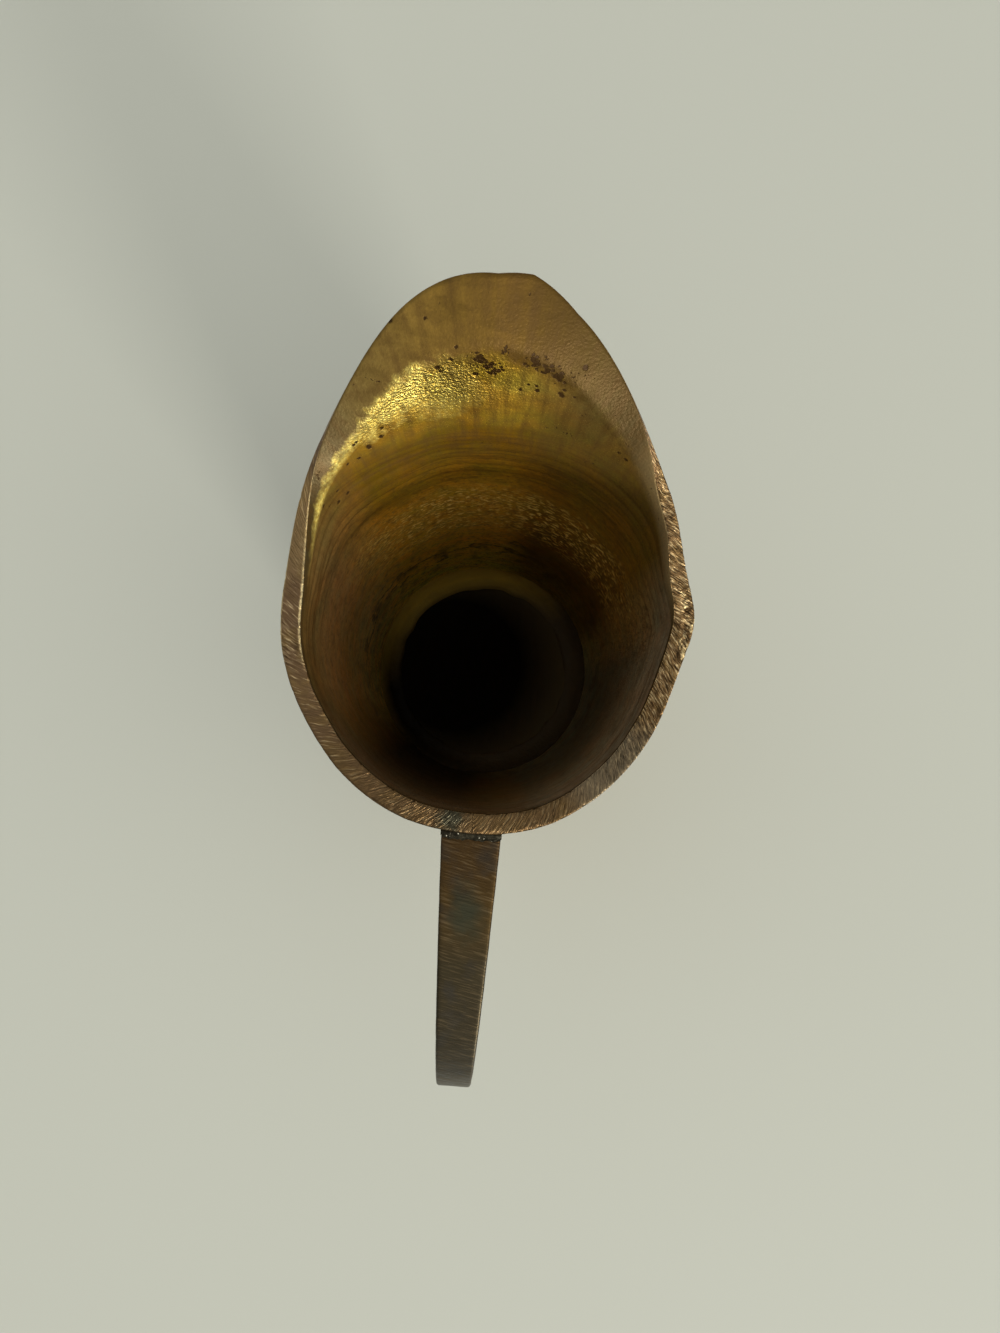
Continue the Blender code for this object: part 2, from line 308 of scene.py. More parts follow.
def rim_relief(azimuth, across, thickness):
    """How far the rim's face rises above its plain level; across runs from 0, outside, to 1, inside."""
    around = azimuth / math.tau
    length = azimuth * MOUTH_RADIUS
    inward = across * thickness
    jitter = patches(around, across, 190, 3, 31)
    chisel_phase = (length + CHISEL_SKEW * inward + 0.00020 * jitter) / CHISEL_PITCH
    chisel = (saw(chisel_phase) - 1.0) * (0.65 + 0.35 * patches(around, across, 260, 2, 32))
    file_phase = (length + FILE_SKEW * inward + 0.0002 * jitter) / FILE_PITCH
    filed = (saw(file_phase) - 1.0) * (0.6 + 0.4 * patches(around, across, 320, 2, 33))
    scratches = patches(around + 0.3 * across * thickness, across, 900, 1, 34)
    relief = CHISEL_DEPTH * chisel * stretches(azimuth, CHISEL_STRETCHES)
    relief = relief + FILE_DEPTH * filed * stretches(azimuth, FILE_STRETCHES)
    relief = relief + SCRATCH_DEPTH * scratches
    to_edge = np.minimum(across, 1.0 - across) / EDGE_REACH
    relief = relief - EDGE_ROUND * np.clip(1.0 - to_edge, 0.0, 1.0) ** 2
    burrs = np.maximum(0.0, patches(around, across * 0.0, 420, 1, 35) - 0.25)
    relief = relief + BURR_HEIGHT * burrs * np.exp(-(((1.0 - across) / 0.10) ** 2))
    chips = np.maximum(0.0, patches(around, across * 0.0, 210, 1, 36) - 0.45) / 0.55
    relief = relief - CHIP_DEPTH * chips * np.exp(-((across / 0.13) ** 2))
    return relief * ease(thickness / WALL)


def body_rows():
    """low and climb for each row of the wall, from its foot to its rim."""
    low = np.concatenate([np.linspace(0.0, 1.0, LOW_ROWS + 1), np.ones(CLIMB_ROWS)])
    climb = np.concatenate([np.zeros(LOW_ROWS), np.linspace(0.0, 1.0, CLIMB_ROWS + 1)])
    return low[:, None], climb[:, None]


def plain_wall(azimuth, low, climb):
    """The plain outer wall with its rim wandering a little, and its outward normals."""
    wall = wall_points(azimuth, low, climb)
    wander = 0.5 + 0.5 * patches(azimuth / math.tau, 0 * low, 26, 1, 5)
    wall[..., 2] -= RIM_WANDER * wander * ease(climb)
    return wall, outward(wall)


def body_surfaces():
    """The worn outer and inner surfaces, as rows of points, lowest row first, with the inner one's climb."""
    azimuth = np.linspace(-math.pi, math.pi, COLUMNS, endpoint=False)[None, :]
    low, climb = body_rows()
    wall, normal = plain_wall(azimuth, low, climb)
    outer = wall - normal * outside_wear(azimuth, wall[..., 2])[..., None]
    inner_climb = climb * (1.0 - humps(azimuth, BEVELS))
    wall, normal = plain_wall(azimuth, low, inner_climb)
    height = wall[..., 2]
    inner = wall - normal * (wall_thickness(azimuth, inner_climb) - inside_wear(azimuth, height))[..., None]
    inner[..., 2] = np.where(low < 1.0, height, inner[..., 2])
    return azimuth, climb, outer, inner, inner_climb


def make_mesh(name, points, faces, materials=(), slots=None):
    mesh = bpy.data.meshes.new(name)
    mesh.from_pydata(points.tolist(), [], faces)
    for material in materials:
        mesh.materials.append(material)
    if slots is not None:
        mesh.polygons.foreach_set("material_index", slots)
    mesh.shade_smooth()
    piece = bpy.data.objects.new(name, mesh)
    bpy.context.scene.collection.objects.link(piece)
    return piece


def give_attribute(piece, name, values):
    attribute = piece.data.attributes.new(name, "FLOAT", "POINT")
    attribute.data.foreach_set("value", np.ascontiguousarray(values, np.float32).ravel())


def ring_faces(rings, columns):
    """Quads between neighbouring rings, the last joined to the first."""
    ring, column = np.meshgrid(np.arange(rings), np.arange(columns), indexing="ij")
    above = (ring + 1) % rings
    beside = (column + 1) % columns
    here, next_ring = ring * columns, above * columns
    quads = [here + column, here + beside, next_ring + beside, next_ring + column]
    return np.stack(quads, axis=-1).reshape(-1, 4)


def make_body(materials):
    """The tube as one closed skin: up the outside, over the rim, down the inside, and back under the wall."""
    azimuth, climb, outer, inner, inner_climb = body_surfaces()
    outer_rows = outer[::OUTER_EVERY]
    across = np.linspace(0.0, 1.0, RIM_ROWS + 1)[:, None]
    top_out, top_in = outer[-1][None], inner[-1][None]
    face = top_out + (top_in - top_out) * across[..., None]
    along = np.roll(top_out, -1, axis=1) - np.roll(top_out, 1, axis=1)
    lift = unit(np.cross(top_in - top_out, along))
    lift *= np.sign(lift[..., 2:3])
    thickness = np.linalg.norm(top_in - top_out, axis=-1)
    rim = face + lift * rim_relief(azimuth, across, thickness)[..., None]
    under = np.linspace(0.0, 1.0, SOLE_ROWS + 2)[1:-1, None, None]
    sole = inner[0][None] + (outer[0][None] - inner[0][None]) * under
    skin = np.concatenate([outer_rows[:-1], rim, inner[:-1][::-1], sole])
    rows_out, rows_in = len(outer_rows) - 1, len(inner) - 1
    slot_of_row = np.concatenate([
        np.zeros(rows_out, int), np.ones(RIM_ROWS, int), np.full(rows_in, 2), np.zeros(SOLE_ROWS + 1, int)
    ])
    faces = ring_faces(len(skin), COLUMNS)
    points = skin.reshape(-1, 3)
    body = make_mesh("vase_body", points, faces.tolist(), materials, np.repeat(slot_of_row, COLUMNS))
    outer_climb = climb[::OUTER_EVERY][:-1] * np.ones(COLUMNS)
    rim_climb, sole_climb = np.ones((RIM_ROWS + 1, COLUMNS)), np.zeros((SOLE_ROWS, COLUMNS))
    climbs = np.concatenate([outer_climb, rim_climb, inner_climb[:-1][::-1], sole_climb])
    give_attribute(body, "climb", climbs)
    across_all = np.zeros(skin.shape[:2])
    across_all[rows_out:rows_out + RIM_ROWS + 1] = across
    across_all[rows_out + RIM_ROWS + 1:] = 1.0
    give_attribute(body, "across", across_all)
    give_attribute(body, "around", np.broadcast_to(azimuth * MOUTH_RADIUS, skin.shape[:2]))
    for name, places in (("chiselled", CHISEL_STRETCHES), ("filed", FILE_STRETCHES)):
        give_attribute(body, name, np.broadcast_to(stretches(azimuth, places), skin.shape[:2]))
    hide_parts("body_shell")
    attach(body, "root")


def bezier(start, leave, arrive, end, share):
    """A point of a cubic curve."""
    rest = 1.0 - share
    weights = (rest**3, 3 * rest**2 * share, 3 * rest * share**2, share**3)
    return sum(weight * np.array(point) for weight, point in zip(weights, (start, leave, arrive, end)))


def strap_root():
    height = FRONT_HEIGHT - STRAP_DROP - STRAP_THICKNESS / 2
    return handle_wall(height) + FIT_GAP, height


def strap_bend():
    return MOUTH_RADIUS + HANDLE_STANDOFF - STRAP_THICKNESS / 2, FRONT_HEIGHT - HANDLE_BEND_DROP


def strap_landing():
    height = HANDLE_FOOT_HEIGHT + HANDLE_LAP
    return handle_wall(height) + FIT_GAP + STRAP_THICKNESS / 2, height


def strap_centre(share):
    """The strap's middle line, as reach from the axis and height."""
    root, bend, landing = strap_root(), strap_bend(), strap_landing()
    if share <= BEND_SHARE:
        leave = (root[0] + SHOULDER_OUT * (bend[0] - root[0]), root[1])
        arrive = (bend[0], bend[1] + SHOULDER_FALL * (root[1] - bend[1]))
        return bezier(root, leave, arrive, bend, share / BEND_SHARE)
    if share <= LAP_SHARE:
        fall = bend[1] - landing[1]
        leave = (bend[0], bend[1] - SWEEP_FALL * fall)
        arrive = (landing[0], landing[1] + SWEEP_LANDING * fall)
        return bezier(bend, leave, arrive, landing, (share - BEND_SHARE) / (LAP_SHARE - BEND_SHARE))
    down = (share - LAP_SHARE) / (1.0 - LAP_SHARE)
    return np.array([landing[0], landing[1] - down * HANDLE_LAP])


def strap_width(share):
    if share <= BEND_SHARE:
        start, end = STRAP_ROOT_WIDTH, STRAP_BEND_WIDTH
        root_reach = strap_root()[0]
        done = (strap_centre(share)[0] - root_reach) / (strap_bend()[0] - root_reach)
    else:
        start, end = STRAP_BEND_WIDTH, STRAP_FOOT_WIDTH
        done = (share - BEND_SHARE) / (1.0 - BEND_SHARE)
    return start + (end - start) * done


STRAP_STATIONS = 300
STRAP_SPLIT_FACE = 16
STRAP_CORNER = 0.0004
STRAP_CORNER_STEPS = 4
STRAP_TUCK = 0.0002
STRAP_DENT = 0.00007


def strap_section(width):
    """A flat rounded outline: across the strap, and out from its middle line."""
    half_width, half_depth = width / 2 - STRAP_CORNER, STRAP_THICKNESS / 2 - STRAP_CORNER
    outline = []
    corners = ((1, 1, 0), (-1, 1, 90), (-1, -1, 180), (1, -1, 270))
    for index, (side, face, start) in enumerate(corners):
        for step in range(STRAP_CORNER_STEPS + 1):
            angle = math.radians(start + 90 * step / STRAP_CORNER_STEPS)
            across = side * half_width + STRAP_CORNER * math.cos(angle)
            outline.append((across, face * half_depth + STRAP_CORNER * math.sin(angle)))
        if index % 2 == 0:
            for step in range(1, STRAP_SPLIT_FACE):
                share = 1.0 - 2.0 * step / STRAP_SPLIT_FACE
                outline.append((side * half_width * share, face * (half_depth + STRAP_CORNER)))
    return np.array(outline)


def strap_stations():
    """Shares of the path, spread by length, with the two ends."""
    fine = np.linspace(0.0, 1.0, 2000)
    path = np.array([strap_centre(share) for share in fine])
    steps = np.linalg.norm(np.diff(path, axis=0), axis=1)
    length = np.concatenate([[0.0], np.cumsum(steps)])
    return np.interp(np.linspace(0.0, length[-1], STRAP_STATIONS), length, fine), length[-1]


def make_strap(material):
    """The handle: a flat rounded section carried along the path, with its faces slightly uneven."""
    shares, length = strap_stations()
    rings, travelled = [], []
    for index, share in enumerate(shares):
        centre = strap_centre(share)
        ahead = strap_centre(min(1.0, share + 0.001)) - strap_centre(max(0.0, share - 0.001))
        ahead = ahead / np.linalg.norm(ahead)
        out = np.array([-ahead[1], ahead[0]])
        section = strap_section(strap_width(share))
        done = index / (STRAP_STATIONS - 1)
        place_across = section[:, 0] / STRAP_ROOT_WIDTH + 0.5
        dents = STRAP_DENT * (0.5 + 0.5 * patches(done, place_across, 90, 3, 41))
        section = section - dents[:, None] * np.sign(section) * np.array([0.5, 1.0])
        if index == 0:
            centre = centre - np.array([FIT_GAP + STRAP_TUCK, 0.0])
        reach = centre[0] + section[:, 1] * out[0]
        height = centre[1] + section[:, 1] * out[1]
        rings.append(np.stack([section[:, 0], -reach, height], axis=-1))
        travelled.append(np.full(len(section), done * length))
    strap = loft("strap", rings, material)
    give_attribute(strap, "along", np.concatenate(travelled))
    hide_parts("strap_handle")
    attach(strap, "root")


def loft(name, rings, material):
    """A closed piece through rings of equal count, with a flat cap at each end."""
    count = len(rings[0])
    points = np.concatenate(rings)
    faces = []
    for ring in range(len(rings) - 1):
        base, above = ring * count, (ring + 1) * count
        for step in range(count):
            after = (step + 1) % count
            faces.append((base + step, base + after, above + after, above + step))
    faces.append(tuple(range(count))[::-1])
    last = (len(rings) - 1) * count
    faces.append(tuple(range(last, last + count)))
    piece = make_mesh(name, points, faces, (material,))
    face_outwards(piece.data)
    return piece


def face_outwards(mesh):
    """Turns the faces round if the closed mesh is inside out."""
    mesh.calc_loop_triangles()
    co = np.empty(len(mesh.vertices) * 3, np.float32)
    mesh.vertices.foreach_get("co", co)
    corners = np.empty(len(mesh.loop_triangles) * 3, np.int32)
    mesh.loop_triangles.foreach_get("vertices", corners)
    triangles = co.reshape(-1, 3)[corners].reshape(-1, 3, 3).astype(float)
    if np.linalg.det(triangles).sum() < 0:
        mesh.flip_normals()


# Solder
SOLDER_STATIONS = 44
SOLDER_STEPS = 12
SOLDER_OVERRUN = 0.00005
SOLDER_SINK = 0.0007
SOLDER_LUMP = 0.00011
RIM_SEAM_SHARE = 0.36


def fillet_curve(step, steps):
    """A point of a fillet's hollow face, as shares of its reach and its height."""
    angle = math.radians(90) * step / steps
    return 1.0 - math.sin(angle), 1.0 - math.cos(angle)


def solder_stations(seed, squareness, least):
    """Stations across a run: side from -1 to 1, place in the patches, how full the run is, and its lump."""
    for station in range(SOLDER_STATIONS):
        side = 2.0 * station / (SOLDER_STATIONS - 1) - 1.0
        place = np.array(0.5 + side * 0.24)
        swell = (1.0 - abs(side) ** squareness) ** 0.5 * (1.0 - least) + least
        yield side, place, swell, patches(place, np.array(0.5), 30, 2, seed)


def solder_run(name, node, corner_reach, corner_height, out, up, half_width, seed, material):
    """A lumpy fillet across the strap, in the corner between wall and strap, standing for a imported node.

    out is how far it runs along the strap, and up how far along the wall, downwards if negative.
    """
    rings = []
    for side, place, swell, lump in solder_stations(seed, 6, 0.15):
        run, rise = out * swell * (1 + 0.16 * lump), up * swell * (1 - 0.14 * lump)
        ring = [(-SOLDER_SINK, -math.copysign(SOLDER_SINK, up))]
        for step in range(SOLDER_STEPS + 1):
            outward_share, up_share = fillet_curve(step, SOLDER_STEPS)
            bulge = SOLDER_LUMP * patches(place, np.array(step / SOLDER_STEPS), 46, 4, seed + 1)
            ring.append((run * outward_share + bulge, rise * up_share + math.copysign(bulge, up)))
        ring.append((-SOLDER_SINK, rise))
        across = side * (half_width + SOLDER_OVERRUN)
        rings.append(np.array([(across, -(corner_reach + x), corner_height + z) for x, z in ring]))
    run_piece = loft(name, rings, material)
    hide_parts(node)
    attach(run_piece, "root")


def make_solder(material):
    """The five runs: three where the strap's ends meet the wall, one in the notch, one round the floor."""
    for name, node, seed, upward in (
        ("rim_solder", "rim_solder_bead", 51, True),
        ("upper_solder", "upper_solder_fillet", 54, False),
        ("toe_solder", "toe_solder_bead", 57, False),
    ):
        low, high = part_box(node)
        share = RIM_SEAM_SHARE if upward else 1.0
        out, tall = (high.y - low.y) * share, (high.z - low.z) * share
        corner = low.z if upward else high.z
        solder_run(name, node, -high.y, corner, out, tall if upward else -tall, high.x, seed, material)
    make_notch_solder(material)
    make_floor_solder(material)


NOTCH_STEPS = 40
NOTCH_TOP_STEPS = 8
NOTCH_OPENING = 0.0024
NOTCH_SAG = 0.0007


def make_notch_solder(material):
    """The wedge in the notch above where the strap lands, a little hollow on top."""
    strap_side, wall_side = [], []
    step = (LAP_SHARE - BEND_SHARE) / NOTCH_STEPS
    share = LAP_SHARE
    while share > BEND_SHARE:
        share -= step
        here = strap_centre(share)
        way = strap_centre(share + step) - here
        way = way / np.linalg.norm(way)
        face = here + np.array([way[1], -way[0]]) * (STRAP_THICKNESS / 2 - STRAP_TUCK)
        wall = handle_wall(face[1]) - STRAP_TUCK
        if face[0] - wall < FIT_GAP:
            continue
        strap_side.append(face)
        wall_side.append((wall, face[1]))
        if face[0] - wall > NOTCH_OPENING:
            break
    reach, height = strap_side[-1]
    width = wall_side[-1][0] - reach
    top = []
    for across in np.arange(1, NOTCH_TOP_STEPS) / NOTCH_TOP_STEPS:
        top.append((reach + width * across, height - NOTCH_SAG * math.sin(math.pi * across)))
    outline = np.array(strap_side + top + wall_side[::-1])
    rings = []
    for side, _, swell, lump in solder_stations(61, 8, 0.7):
        shaped = outline[0] + (outline - outline[0]) * swell * (1 + 0.05 * lump)
        across = side * (STRAP_FOOT_WIDTH / 2 + SOLDER_OVERRUN / 2)
        rings.append(np.array([(across, -x, z) for x, z in shaped]))
    notch = loft("lower_solder", rings, material)
    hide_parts("lower_solder_fillet")
    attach(notch, "root")


FLOOR_RING_COLUMNS = 180
FLOOR_RING_STEPS = 12
SKIRT_OVERLAP = 0.0001
SKIRT_INSET = 0.0002


def make_floor_solder(material):
    """The fillet round the floor, with a thin skirt down into the joint between floor and tube."""
    wall = BASE_RADIUS - WALL
    azimuth = np.linspace(0.0, math.tau, FLOOR_RING_COLUMNS, endpoint=False)
    around = azimuth / math.tau
    rows = []
    for step in range(FLOOR_RING_STEPS + 1):
        inward, up = fillet_curve(step, FLOOR_RING_STEPS)
        lump = 1 + 0.10 * patches(around, np.full_like(around, step / FLOOR_RING_STEPS), 40, 3, 71)
        radius = wall + SKIRT_OVERLAP - FLOOR_SOLDER_WIDTH * inward * lump
        rows.append((radius, FLOOR_THICKNESS + FIT_GAP / 2 + FLOOR_SOLDER_HEIGHT * up * lump))
    skirt, top = wall - FIT_GAP - SKIRT_OVERLAP, FLOOR_THICKNESS - SKIRT_INSET
    outer, inner = wall + SKIRT_OVERLAP, wall - FLOOR_SOLDER_WIDTH
    corners = ((outer, SKIRT_INSET), (skirt, SKIRT_INSET), (skirt, top), (inner, top))
    for radius, level in corners:
        rows.append((radius, np.full_like(around, level)))
    skin = np.stack([np.stack([r * np.sin(azimuth), r * np.cos(azimuth), z], axis=-1) for r, z in rows])
    faces = ring_faces(len(skin), FLOOR_RING_COLUMNS)
    ring = make_mesh("floor_solder", skin.reshape(-1, 3), faces.tolist(), (material,))
    face_outwards(ring.data)
    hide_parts("floor_solder_ring")
    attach(ring, "root")


SHADER = "Principled BSDF"


class Graph:
    """A node tree while it is built, and for a material the colour laid on it so far."""

    def __init__(self, owner, coordinates):
        owner.use_nodes = True
        self.owner, self.tree, self.colour = owner, owner.node_tree, None
        self.place = self.add("ShaderNodeTexCoord").outputs[coordinates]

    def add(self, kind, inputs=None, **settings):
        """A node, with its settings and its inputs, which are values or other nodes' outputs."""
        node = self.tree.nodes.new(kind)
        for name, value in settings.items():
            setattr(node, name, value)
        for name, value in (inputs or {}).items():
            if isinstance(value, bpy.types.NodeSocket):
                self.tree.links.new(value, node.inputs[name])
            else:
                node.inputs[name].default_value = value
        return node

    def maths(self, operation, first, second=0.0, clamp=False):
        inputs = {0: first, 1: second}
        return self.add("ShaderNodeMath", inputs, operation=operation, use_clamp=clamp).outputs[0]

    def times(self, *factors):
        """The product of several values."""
        product = factors[0]
        for factor in factors[1:]:
            product = self.maths("MULTIPLY", product, factor)
        return product

    def apart(self, value, level):
        """How far a value is from a level, on either side."""
        return self.maths("ABSOLUTE", self.maths("SUBTRACT", value, level))

    def vectors(self, operation, first, second=None):
        inputs = {0: first}
        if second is not None:
            inputs["Scale" if operation == "SCALE" else 1] = second
        output = "Value" if operation in ("DISTANCE", "DOT_PRODUCT", "LENGTH") else "Vector"
        return self.add("ShaderNodeVectorMath", inputs, operation=operation).outputs[output]

    def away(self, spot):
        """The distance from a spot."""
        return self.vectors("DISTANCE", self.place, spot)

    def level(self):
        return self.add("ShaderNodeSeparateXYZ", {"Vector": self.place}).outputs["Z"]

    def flat(self, across, up):
        """A place on an unrolled surface."""
        return self.add("ShaderNodeCombineXYZ", {"X": across, "Y": up}).outputs[0]

    def attribute(self, name):
        return self.add("ShaderNodeAttribute", attribute_name=name).outputs["Fac"]

    def noise(self, scale, detail=2.0, roughness=0.5, place=None):
        """Noise from 0 to 1, in repeats a metre. A scale for each axis stretches it."""
        place = place or self.place
        if isinstance(scale, tuple):
            stretched = self.add("ShaderNodeMapping", {"Vector": place, "Scale": scale}, vector_type="POINT")
            place, scale = stretched.outputs[0], 1.0
        inputs = {"Vector": place, "Scale": scale, "Detail": detail, "Roughness": roughness}
        return self.add("ShaderNodeTexNoise", inputs).outputs["Fac"]

    def wobble(self, scale, amount, detail=3.0, roughness=0.5):
        """Noise about 0, up to half the amount on either side."""
        return self.times(self.maths("SUBTRACT", self.noise(scale, detail, roughness), 0.5), amount)

    def between(self, value, low, high, to_low=0.0, to_high=1.0):
        """value mapped from low..high to to_low..to_high, and held there."""
        inputs = {"Value": value, "From Min": low, "From Max": high, "To Min": to_low, "To Max": to_high}
        return self.add("ShaderNodeMapRange", inputs, clamp=True).outputs[0]

    def band(self, value, levels):
        """1 between the two middle levels, falling to 0 at the outer two."""
        return self.times(self.between(value, *levels[:2]), self.between(value, *levels[2:], 1.0, 0.0))

    def facing(self, degrees, low, high):
        """0 to 1 by how far a place lies towards an azimuth."""
        azimuth = math.radians(degrees)
        way = self.vectors("NORMALIZE", self.vectors("MULTIPLY", self.place, (1.0, 1.0, 0.0)))
        side = (math.sin(azimuth), math.cos(azimuth), 0.0)
        return self.between(self.vectors("DOT_PRODUCT", way, side), low, high)

    def mixed(self, share, first, second, blend="MIX"):
        """Two colours mixed by a share."""
        inputs = {0: share}
        for index, colour in ((6, first), (7, second)):
            inputs[index] = (*colour, 1.0) if isinstance(colour, tuple) else colour
        return self.add("ShaderNodeMix", inputs, data_type="RGBA", blend_type=blend).outputs[2]

    def lay(self, paint, *shares):
        """Lays a paint over the colour so far, by the product of the shares."""
        self.colour = self.mixed(self.times(*shares), self.colour, paint)

    def ramp(self, value, stops):
        """Colours by a value. Each stop is the value and its red, green and blue."""
        node = self.add("ShaderNodeValToRGB", {"Fac": value})
        line = node.color_ramp
        while len(line.elements) < len(stops):
            line.elements.new(0.5)
        for element, (position, *colour) in zip(line.elements, stops):
            element.position = position
            element.color = (*colour, 1.0)
        return node.outputs[0]

    def bump(self, height, distance, below=None):
        inputs = {"Height": height, "Distance": distance, "Strength": 1.0}
        if below is not None:
            inputs["Normal"] = below
        return self.add("ShaderNodeBump", inputs).outputs[0]

    def finished(self, roughness, normal, metallic=None):
        """The material, with its colour and the rest joined to its shader."""
        sockets = {"Base Color": self.colour, "Roughness": roughness, "Normal": normal, "Metallic": metallic}
        for name, value in sockets.items():
            if value is not None:
                self.tree.links.new(value, self.tree.nodes[SHADER].inputs[name])
        return self.owner


def new_material(name, metallic=1.0, specular=0.5):
    g = Graph(bpy.data.materials.new(name), "Object")
    g.tree.nodes[SHADER].inputs["Metallic"].default_value = metallic
    g.tree.nodes[SHADER].inputs["Specular IOR Level"].default_value = specular
    return g


# Inside colours by height, as a share of the whole height: the brass's own tone with painted light and shade
# in it, very bright low down, where little light reaches, darker between about 0.74 and 0.83 of the height,
# and brighter again at the height of the painted highlight on the bend. A side is an azimuth, in degrees
# unless it says radians.
WHOLE_HEIGHT = 0.14
DEPTH_COLOURS_WITH_PAINTED_LIGHT = (
    (0.00, 0.10, 0.06, 0.012),
    (0.03, 1.00, 0.78, 0.090),
    (0.12, 1.00, 0.74, 0.085),
    (0.20, 1.00, 0.66, 0.065),
    (0.32, 0.83, 0.45, 0.045),
    (0.57, 0.64, 0.33, 0.030),
    (0.67, 0.54, 0.275, 0.020),
    (0.74, 0.24, 0.125, 0.007),
    (0.78, 0.14, 0.075, 0.004),
    (0.83, 0.14, 0.080, 0.005),
    (0.87, 0.32, 0.190, 0.017),
    (0.905, 0.46, 0.290, 0.035),
    (0.93, 0.34, 0.210, 0.022),
    (0.95, 0.27, 0.160, 0.016),
    (1.00, 0.27, 0.160, 0.016),
)
# A highlight painted on the bend: its colour, its brighter grains, and the side it lies on
PAINTED_HIGHLIGHT_COLOUR = (0.64, 0.43, 0.070)
PAINTED_HIGHLIGHT_BRIGHT_COLOUR = (1.00, 0.86, 0.24)
PAINTED_HIGHLIGHT_SIDE = -42
BARE_SIDE = -37
LIP_DARK_COLOUR = (0.050, 0.027, 0.004)
PIT_COLOUR = (0.040, 0.020, 0.005)

# Lip colours round the spout, as shares from 60 degrees left of it to 60 degrees right
LIP_SIDE = math.radians(60)
LIP_COLOURS = (
    (0.00, 0.058, 0.042, 0.016),
    (0.14, 0.115, 0.084, 0.034),
    (0.22, 0.165, 0.112, 0.030),
    (0.38, 0.220, 0.130, 0.024),
    (0.50, 0.115, 0.062, 0.009),
    (0.66, 0.080, 0.049, 0.009),
    (0.80, 0.055, 0.038, 0.012),
    (1.00, 0.052, 0.036, 0.012),
)
STREAK_COLOUR = (0.085, 0.045, 0.012)
LINE_COLOUR = (0.08, 0.04, 0.008)
BLOTCH_COLOUR = (0.07, 0.035, 0.01)
LOWERED_SIDE = 2

# Other sides of the inside, with colours that stand in for how light falls: painted shade at the back right
# and the front left, greyed painted shade on the front right, and greyer colours on the left. Each: azimuth
# in degrees, the cosines where each begins and is full, and its colours by height
SIDE_COLOURS_WITH_PAINTED_SHADE = (
    (-92, 0.66, 0.94, (
        (0.08, 0.95, 0.70, 0.200),
        (0.30, 0.74, 0.50, 0.160),
        (0.43, 0.50, 0.30, 0.086),
        (0.56, 0.48, 0.25, 0.080),
        (0.67, 0.42, 0.23, 0.080),
        (0.74, 0.28, 0.16, 0.050),
        (0.80, 0.19, 0.11, 0.032),
        (0.86, 0.20, 0.12, 0.030),
    )),
    (42, 0.79, 0.93, (
        (0.08, 0.42, 0.28, 0.030),
        (0.30, 0.24, 0.13, 0.012),
        (0.43, 0.24, 0.11, 0.008),
        (0.56, 0.33, 0.16, 0.012),
        (0.67, 0.30, 0.15, 0.012),
        (0.78, 0.125, 0.070, 0.007),
        (0.86, 0.130, 0.082, 0.015),
        (0.90, 0.150, 0.098, 0.024),
        (0.93, 0.120, 0.080, 0.026),
    )),
    (125, 0.45, 0.85, (
        (0.08, 0.50, 0.48, 0.35),
        (0.30, 0.24, 0.22, 0.14),
        (0.43, 0.20, 0.17, 0.10),
        (0.56, 0.24, 0.18, 0.10),
        (0.67, 0.32, 0.245, 0.14),
        (0.80, 0.33, 0.25, 0.16),
    )),
    (-158, 0.68, 0.96, (
        (0.08, 0.050, 0.040, 0.015),
        (0.43, 0.055, 0.038, 0.016),
        (0.65, 0.090, 0.058, 0.028),
        (0.80, 0.200, 0.130, 0.070),
    )),
)
REDDISH_TINT = (1.10, 0.96, 0.85)
OLIVE_TINT = (0.88, 0.99, 1.00)
GLINT_COLOUR = (1.00, 0.66, 0.17)
GLINT_SIDE = 8
GLINT_BAND = (0.052, 0.060, 0.082, 0.092)
# Painted shade on the right of the bend faces this way
PAINTED_SHADE_SIDE = 20
RUBBED_SIDE = 62
RUBBED_COLOUR = (0.36, 0.25, 0.11)
CRACKLE_SIDE = 76
CRACKLE_BAND = (0.068, 0.076, 0.094, 0.104)
TIDE_SIDE = -32
TIDE_HEIGHT = 0.037
BLOTCH_BAND = (0.018, 0.026, 0.040, 0.050)
LINE_BAND = (0.090, 0.098, 0.114, 0.120)

# Where a highlight is painted on the bend: azimuth in degrees, height and reach in millimetres, and how
# strong
PAINTED_HIGHLIGHT_PATCHES = (
    (-23.5, 128.6, 5.8, 1.0),
    (-29.5, 126.0, 4.5, 0.95),
    (-36.0, 123.5, 3.5, 0.65),
    (-16.0, 127.3, 7.5, 0.50),
)

# Where pits crowd: azimuth and height of the middle, the step from it to each side, and reach, in degrees and
# millimetres
PIT_CROWDS = (
    (-4, 132, 2, -1, 1.4),
    (10, 132, 3, -1, 1.4),
)

# Fields where single pits are strewn by chance: azimuth and its reach in degrees, height and its reach in
# millimetres, and how many
PIT_FIELDS = (
    (-14, 9, 133, 3, 9),
    (11, 7, 130, 3, 10),
    (-38, 7, 121, 3, 8),
    (-52, 6, 114, 2, 5),
    (35, 3, 121, 2, 2),
)
PIT_RADII = (0.20, 0.32)

# The same for scratches, and how far each one runs round and up
SCRATCH_FIELDS = (
    (3, 4, 135, 1, 3, 0, -1),
    (-32, 3, 129, 1, 2, 3, 0),
)
SCRATCH_HALF_WIDTHS = (0.10, 0.20)
MARK_SEED = 81


def inside_place(azimuth_degrees, height_mm):
    """The place on the inside of the spout at an azimuth and a height."""
    azimuth = math.radians(azimuth_degrees) + np.array([[-0.001, 0.0, 0.001]])
    climb = np.linspace(0.0, 1.0, 800)[:, None]
    wall = wall_points(azimuth, 1.0, climb)
    inside = wall - outward(wall) * wall_thickness(azimuth, climb)[..., None]
    return Vector(inside[np.abs(inside[:, 1, 2] - height_mm * MM).argmin(), 1])


